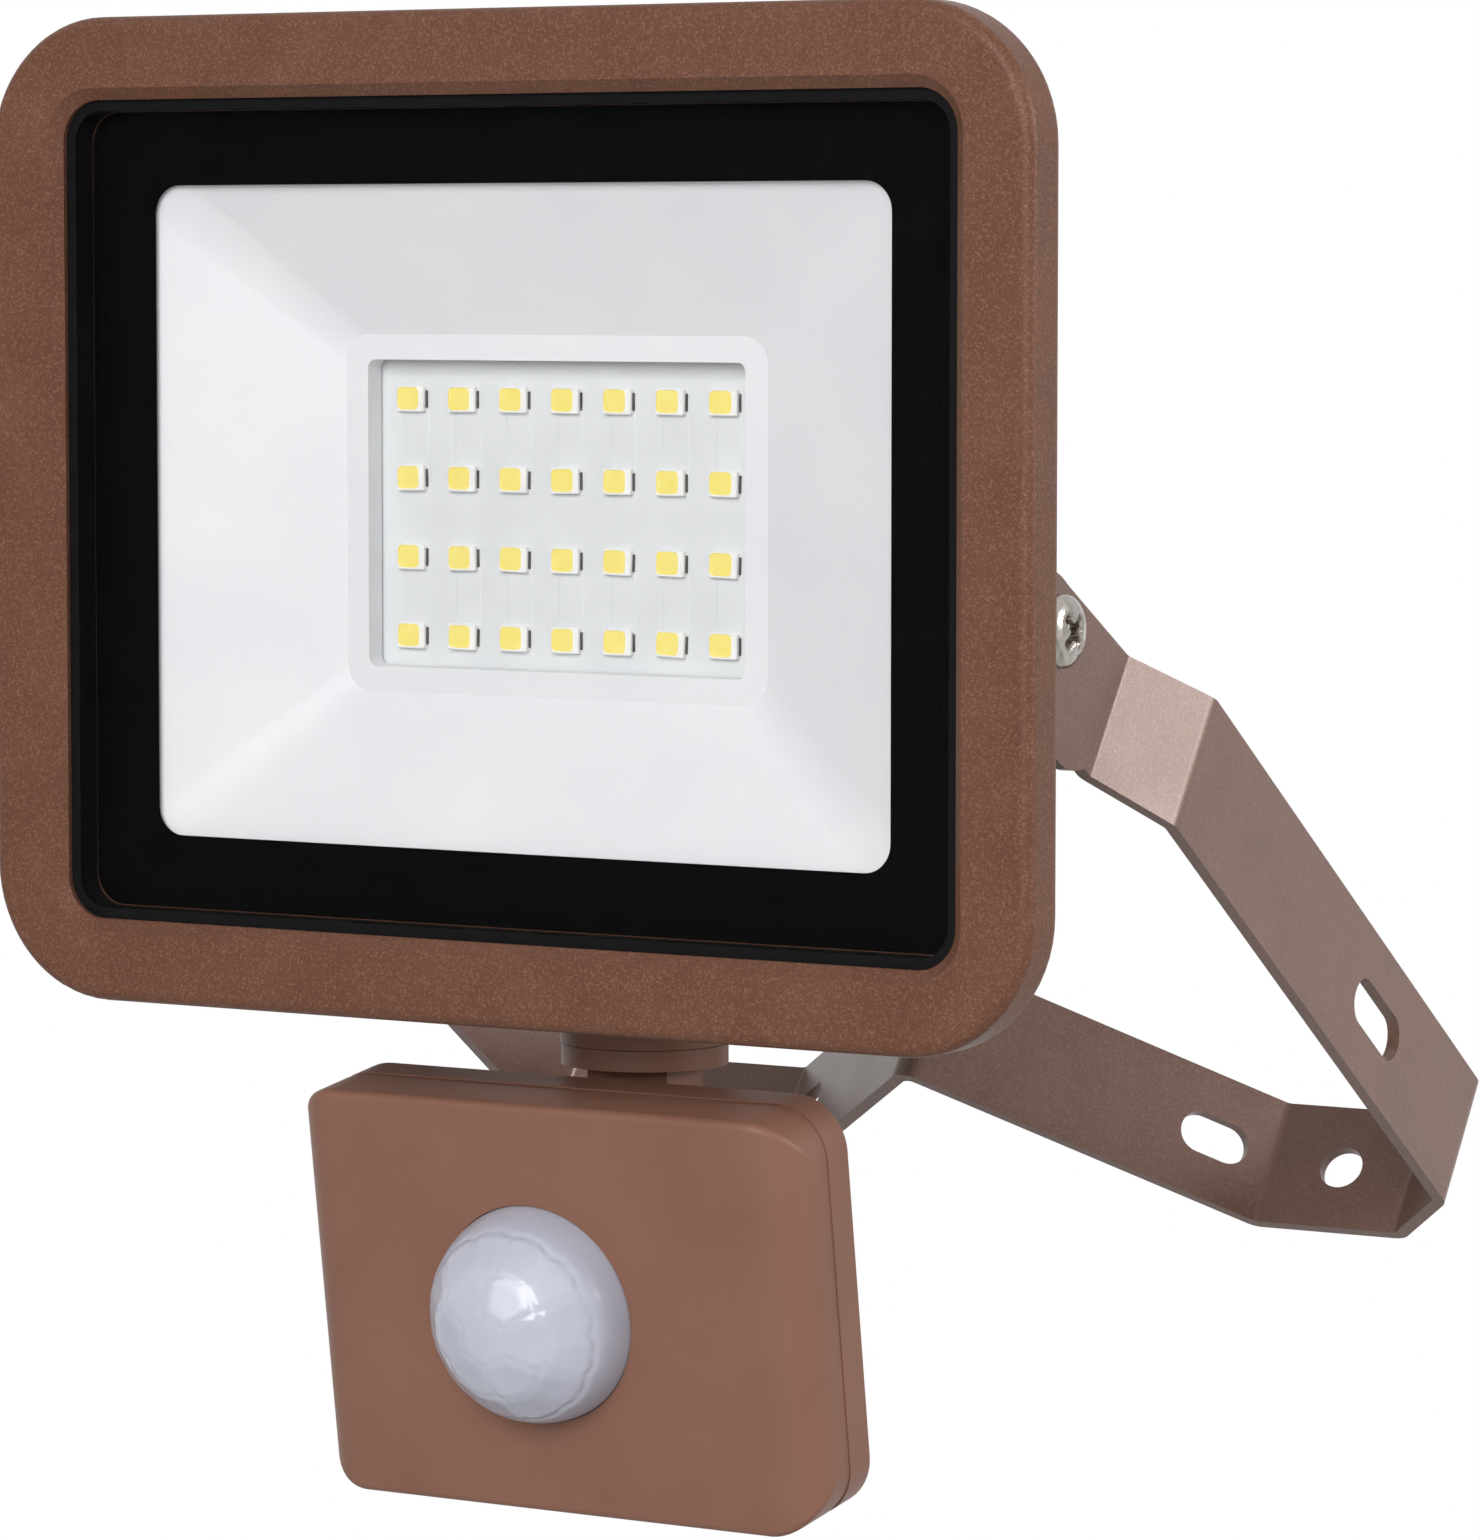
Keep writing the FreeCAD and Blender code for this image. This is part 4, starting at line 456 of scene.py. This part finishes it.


# nickel plate on the two pivot screws: mirror-like, its tone painted darker and in random lighter
# and darker patches, as painted reflection of the dark surroundings the plate would mirror
screwNickelPaintedReflection = finish("nickelPlatePaintedDarkReflection", {
    "tones": ("#8E8883", "#B5AFA9"), "mottleMm": 1.2, "grainMm": 0.6, "bumpMm": 0.02,
    "rough": (0.1, 0.2), "shader": {"Metallic": 1.0},
})
screw = {"dome": 1.5, "power": 2.4, "slot": 0.55, "wall": 0.06, "reach": 2.1, "endWall": 0.1,
         "deep": 1.5, "turned": 0.2, "shank": 1.9, "columns": 72, "rows": 30, "firstRing": 0.02,
         "radius": 3.95, "rise": 2.7, "tip": 45.0}


# a pan head seen along its axis: it falls from the middle by one less the root of one less the
# radius to a power, so that it is round at the edge and flat in the middle; less the cross
# recess, whose two arms have walls that follow a steep smooth step. Behind the head comes the
# plain shank down to its end; the left screw is the mirror image of the right one.
def buildScrews(look, end):
    radius, thick = look["radius"], look["rise"]
    r = radius * np.linspace(look["firstRing"], 1, look["rows"])[:, None]
    turn = np.arange(look["columns"]) * 2 * math.pi / look["columns"]
    u, v = r * np.cos(turn + look["turned"]), r * np.sin(turn + look["turned"])
    fall = 1 - np.sqrt(np.clip(1 - (r / radius) ** look["power"], 0, 1))
    height = thick - look["dome"] * fall
    narrow, wide = np.minimum(abs(u), abs(v)), np.maximum(abs(u), abs(v))
    cross = 1 / (1 + np.exp((narrow - look["slot"]) / look["wall"]))
    cross = cross / (1 + np.exp((wide - look["reach"]) / look["endWall"]))
    height = height - look["deep"] * cross
    flat = end - thick
    rings = [np.stack([flat + h, a * np.cos(turn), a * np.sin(turn)], -1)
             for a, h in zip(r, np.broadcast_to(height, u.shape))]
    for a, x in ((radius, flat), (look["shank"], flat), (look["shank"], look["tip"])):
        rings.append(np.stack([np.full(len(turn), x), a * np.cos(turn), a * np.sin(turn)], -1))
    count, total = look["columns"], len(rings)
    ends = [(flat + height[0].mean(), 0, 0), (look["tip"], 0, 0)]
    one = np.vstack([np.array(rings).reshape(-1, 3), ends])
    faces = ringFaces(total, count).tolist()
    faces += [[total * count, (i + 1) % count, i] for i in range(count)]
    faces += [[total * count + 1, (total - 1) * count + i, (total - 1) * count + (i + 1) % count]
              for i in range(count)]
    points = np.vstack([one, one * (-1, 1, 1)])
    faces += [[i + len(one) for i in reversed(f)] for f in faces]
    return makePiece("panHeadScrews", (points + lampHead["pin"]) / 1000, faces, [screwNickelPaintedReflection],
                     "lamp", sharp=35)


# the heads end where the solids end, at the highest x of the box
pivots = buildScrews(screw, float(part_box("pivot_screws")[1][0]) * 1000)
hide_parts("pivot_screws")
print("pivot screws made")


# milky high-density polyethylene, injection moulded: light goes in and scatters, so the dome
# looks soft bluish white with a waxy gloss on its facets
milkyLens = finish("mouldedMilkyPolyethylene", {
    "tones": ("#B3B5C4", "#BBBDCA"), "mottleMm": 6, "grainMm": 0.8, "bumpMm": 0.004,
    "rough": (0.16, 0.26),
    "shader": {"IOR": 1.54, "Specular IOR Level": 0.5, "Subsurface Weight": 0.25,
               "Subsurface Radius": (1.0, 1.0, 1.0), "Subsurface Scale": 0.0012},
})
lens = {"middle": (-1.5, -12.45), "front": -22.55, "base": 12.2, "height": 11.0, "wall": 0.8,
        "shell": 2.2, "flange": 13.5, "rings": ((0, 1), (25, 6), (48, 13)), "rim": (73, 26),
        "halfFacet": 12, "flat": 1.0, "groove": 0.13, "grooveWidth": 0.5, "inner": 1.28,
        "innerLast": 88, "innerRows": 24, "columns": 320, "rows": 120}


# the dome is a sphere cut into facets, whose middles stand in rings, each an angle from the
# axis and a number: at each direction the nearest middle is found, and the radius is mixed
# between the sphere and the plane that meets it half a facet away, less a bell-shaped groove
# where two middles are equally near. The middles in the ring by the rim have no facets: there
# the sphere stays, so its edge is scalloped. Behind it follow the flange and the inner wall.
def buildLens(look):
    radius = (look["base"] ** 2 + look["height"] ** 2) / (2 * look["height"])
    centreY = look["front"] - look["height"] + radius
    polar = [(math.radians(a), 2 * math.pi * (i + 0.5 * (n % 2)) / n)
             for a, n in (*look["rings"], look["rim"]) for i in range(n)]
    polar, facets = np.array(polar), sum(n for a, n in look["rings"])
    middles = np.stack([np.sin(polar[:, 0]) * np.cos(polar[:, 1]), -np.cos(polar[:, 0]),
                        np.sin(polar[:, 0]) * np.sin(polar[:, 1])], -1)
    last = math.acos((radius - look["height"]) / radius)
    down = np.linspace(0, last, look["rows"])[1:]
    around = np.arange(look["columns"]) * 2 * math.pi / look["columns"]
    away = np.stack([np.sin(down)[:, None] * np.cos(around), -np.cos(down)[:, None] + 0 * around,
                     np.sin(down)[:, None] * np.sin(around)], -1)
    angles = np.arccos(np.clip(away @ middles.T, -1, 1))
    inner = np.sort(angles[..., :facets], -1)
    toRim = angles[..., facets:].min(-1)
    bare = toRim < inner[..., 0]
    other = np.where(bare, inner[..., 0], np.minimum(inner[..., 1], toRim))
    apart = radius * (other - np.where(bare, toRim, inner[..., 0])) / 2
    groove = look["groove"] * np.exp(-(apart / look["grooveWidth"]) ** 2)
    half = math.cos(math.radians(look["halfFacet"]))
    plane = np.minimum(half / np.cos(inner[..., 0]), 1.0)
    reach = radius * (1 + np.where(bare, 0, look["flat"]) * (plane - 1)) - groove
    dome = away * reach[..., None]
    upper = look["front"] + look["shell"]
    lower = upper + look["wall"]
    inside = radius - look["inner"]
    tail = [(look["base"], upper), (look["flange"], upper), (look["flange"], lower),
            (inside, lower)]
    tail += [(inside * math.sin(t), centreY - inside * math.cos(t))
             for t in np.linspace(math.radians(look["innerLast"]), 0, look["innerRows"])[:-1]]
    rings = [np.stack([r * np.cos(around), np.full(len(around), y), r * np.sin(around)], -1)
             for r, y in tail]
    rows = np.concatenate([dome + (0, centreY, 0), np.array(rings)])
    count, total = look["columns"], rows.shape[0]
    points = np.vstack([rows.reshape(-1, 3),
                        [(0, centreY - radius * (1 - look["flat"] * (1 - half)), 0),
                         (0, centreY - inside, 0)]])
    points += (look["middle"][0], 0, look["middle"][1])
    faces = ringFaces(total, count).tolist()
    head, foot, end = total * count, total * count + 1, (total - 1) * count
    faces += [[head, (i + 1) % count, i] for i in range(count)]
    faces += [[foot, end + i, end + (i + 1) % count] for i in range(count)]
    return makePiece("facetedLens", placed(points, sensorHead), faces, [milkyLens], "sensor",
                     sharp=40)


dome = buildLens(lens)
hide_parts("sensor_lens")
print("lens made")


# the camera of the photograph: its place in metres, the picture's right and up, and the focal
# length in picture points of a picture that is so many points tall
view = {"place": (0.37570, -0.63391, -0.31398), "right": (0.85855, 0.41871, 0.29593),
        "up": (-0.04028, -0.52031, 0.85303), "focal": 6443.5, "tall": 1540, "sensor": 36,
        "near": 0.01}
right, up = Vector(view["right"]).normalized(), Vector(view["up"])
up = (up - right * up.dot(right)).normalized()
back = right.cross(up)
lensData = bpy.data.cameras.new("photoCamera")
lensData.lens = view["focal"] / view["tall"] * view["sensor"]
lensData.sensor_width, lensData.clip_start = view["sensor"], view["near"]
camera = bpy.data.objects.new("photoCamera", lensData)
camera.matrix_world = Matrix(((right.x, up.x, back.x, view["place"][0]),
                              (right.y, up.y, back.y, view["place"][1]),
                              (right.z, up.z, back.z, view["place"][2]), (0, 0, 0, 1)))
bpy.context.scene.collection.objects.link(camera)
bpy.context.scene.camera = camera


# one for a ray from the camera, off a mirror or through glass, and none for any other
def seenRays(owner):
    paths = addNode(owner, "ShaderNodeLightPath").outputs
    seen = paths["Is Camera Ray"]
    for kind in ("Is Glossy Ray", "Is Transmission Ray"):
        seen = addNode(owner, "ShaderNodeMath", {0: seen, 1: paths[kind]},
                       operation="MAXIMUM").outputs[0]
    return seen


# pale seamless studio floor: the camera, mirrors and glass see it a little brighter than its
# light, so that it reads as near white and still takes the shadow
floorLook = {"half": 4.0, "height": -0.62, "tones": ("#DADADA", "#E2E2E2"), "glow": 0.5,
             "rough": 0.9, "specular": 0.1, "noise": 3.0}
floorMesh = bpy.data.meshes.new("studioFloor")
side, low = floorLook["half"], floorLook["height"]
corners = [(-side, -side, low), (side, -side, low), (side, side, low), (-side, side, low)]
floorMesh.from_pydata(corners, [], [(0, 1, 2, 3)])
studioFloor = bpy.data.objects.new("studioFloor", floorMesh)
bpy.context.scene.collection.objects.link(studioFloor)
floorPaint = bpy.data.materials.new("mattStudioFloor")
floorPaint.use_nodes = True
floorShader = floorPaint.node_tree.nodes["Principled BSDF"]
floorShader.inputs["Roughness"].default_value = floorLook["rough"]
floorShader.inputs["Specular IOR Level"].default_value = floorLook["specular"]
floorPlace = addNode(floorPaint, "ShaderNodeTexCoord").outputs["Object"]
floorNoise = addNode(floorPaint, "ShaderNodeTexNoise", {
    "Vector": floorPlace, "Scale": floorLook["noise"]})
floorTone = addNode(floorPaint, "ShaderNodeMix", {
    0: floorNoise.outputs["Fac"], 6: hexColour(floorLook["tones"][0]),
    7: hexColour(floorLook["tones"][1])}, data_type="RGBA")
floorPaint.node_tree.links.new(floorTone.outputs[2], floorShader.inputs["Base Color"])
glow = addNode(floorPaint, "ShaderNodeMath", {
    0: seenRays(floorPaint), 1: floorLook["glow"]}, operation="MULTIPLY")
floorShader.inputs["Emission Color"].default_value = (1, 1, 1, 1)
floorPaint.node_tree.links.new(glow.outputs[0], floorShader.inputs["Emission Strength"])
floorMesh.materials.append(floorPaint)

# white surroundings for the camera, for mirrors and through glass; softer light on the object
studio = {"light": 0.22, "seen": 1.0}
world = bpy.data.worlds.new("studioWorld")
bpy.context.scene.world = world
world.use_nodes = True
level = addNode(world, "ShaderNodeMapRange", {
    "Value": seenRays(world), "To Min": studio["light"], "To Max": studio["seen"]})
ground = world.node_tree.nodes["Background"]
ground.inputs["Color"].default_value = (1, 1, 1, 1)
world.node_tree.links.new(level.outputs["Result"], ground.inputs["Strength"])

# soft boxes, placed by the photograph's right, up and towards-the-camera directions
lamps = {
    "frontSoftBox": {"towards": (-0.3, 0.22, 0.92), "away": 1.4, "size": 1.0, "power": 26.5},
    "sideSoftBox": {"towards": (0.92, 0.29, 0.25), "away": 1.2, "size": 0.4, "power": 8.5},
}
target = Vector((0.0, -0.11, -0.015))
for name, look in lamps.items():
    lampData = bpy.data.lights.new(name, "AREA")
    lampData.shape, lampData.size, lampData.energy = "SQUARE", look["size"], look["power"]
    lamp = bpy.data.objects.new(name, lampData)
    x, y, z = look["towards"]
    away = (right * x + up * y + back * z).normalized()
    lamp.location = target + away * look["away"]
    lamp.rotation_euler = away.to_track_quat("Z", "Y").to_euler()
    bpy.context.scene.collection.objects.link(lamp)

bpy.context.scene.view_settings.view_transform = "Standard"
print("camera, floor and light made")
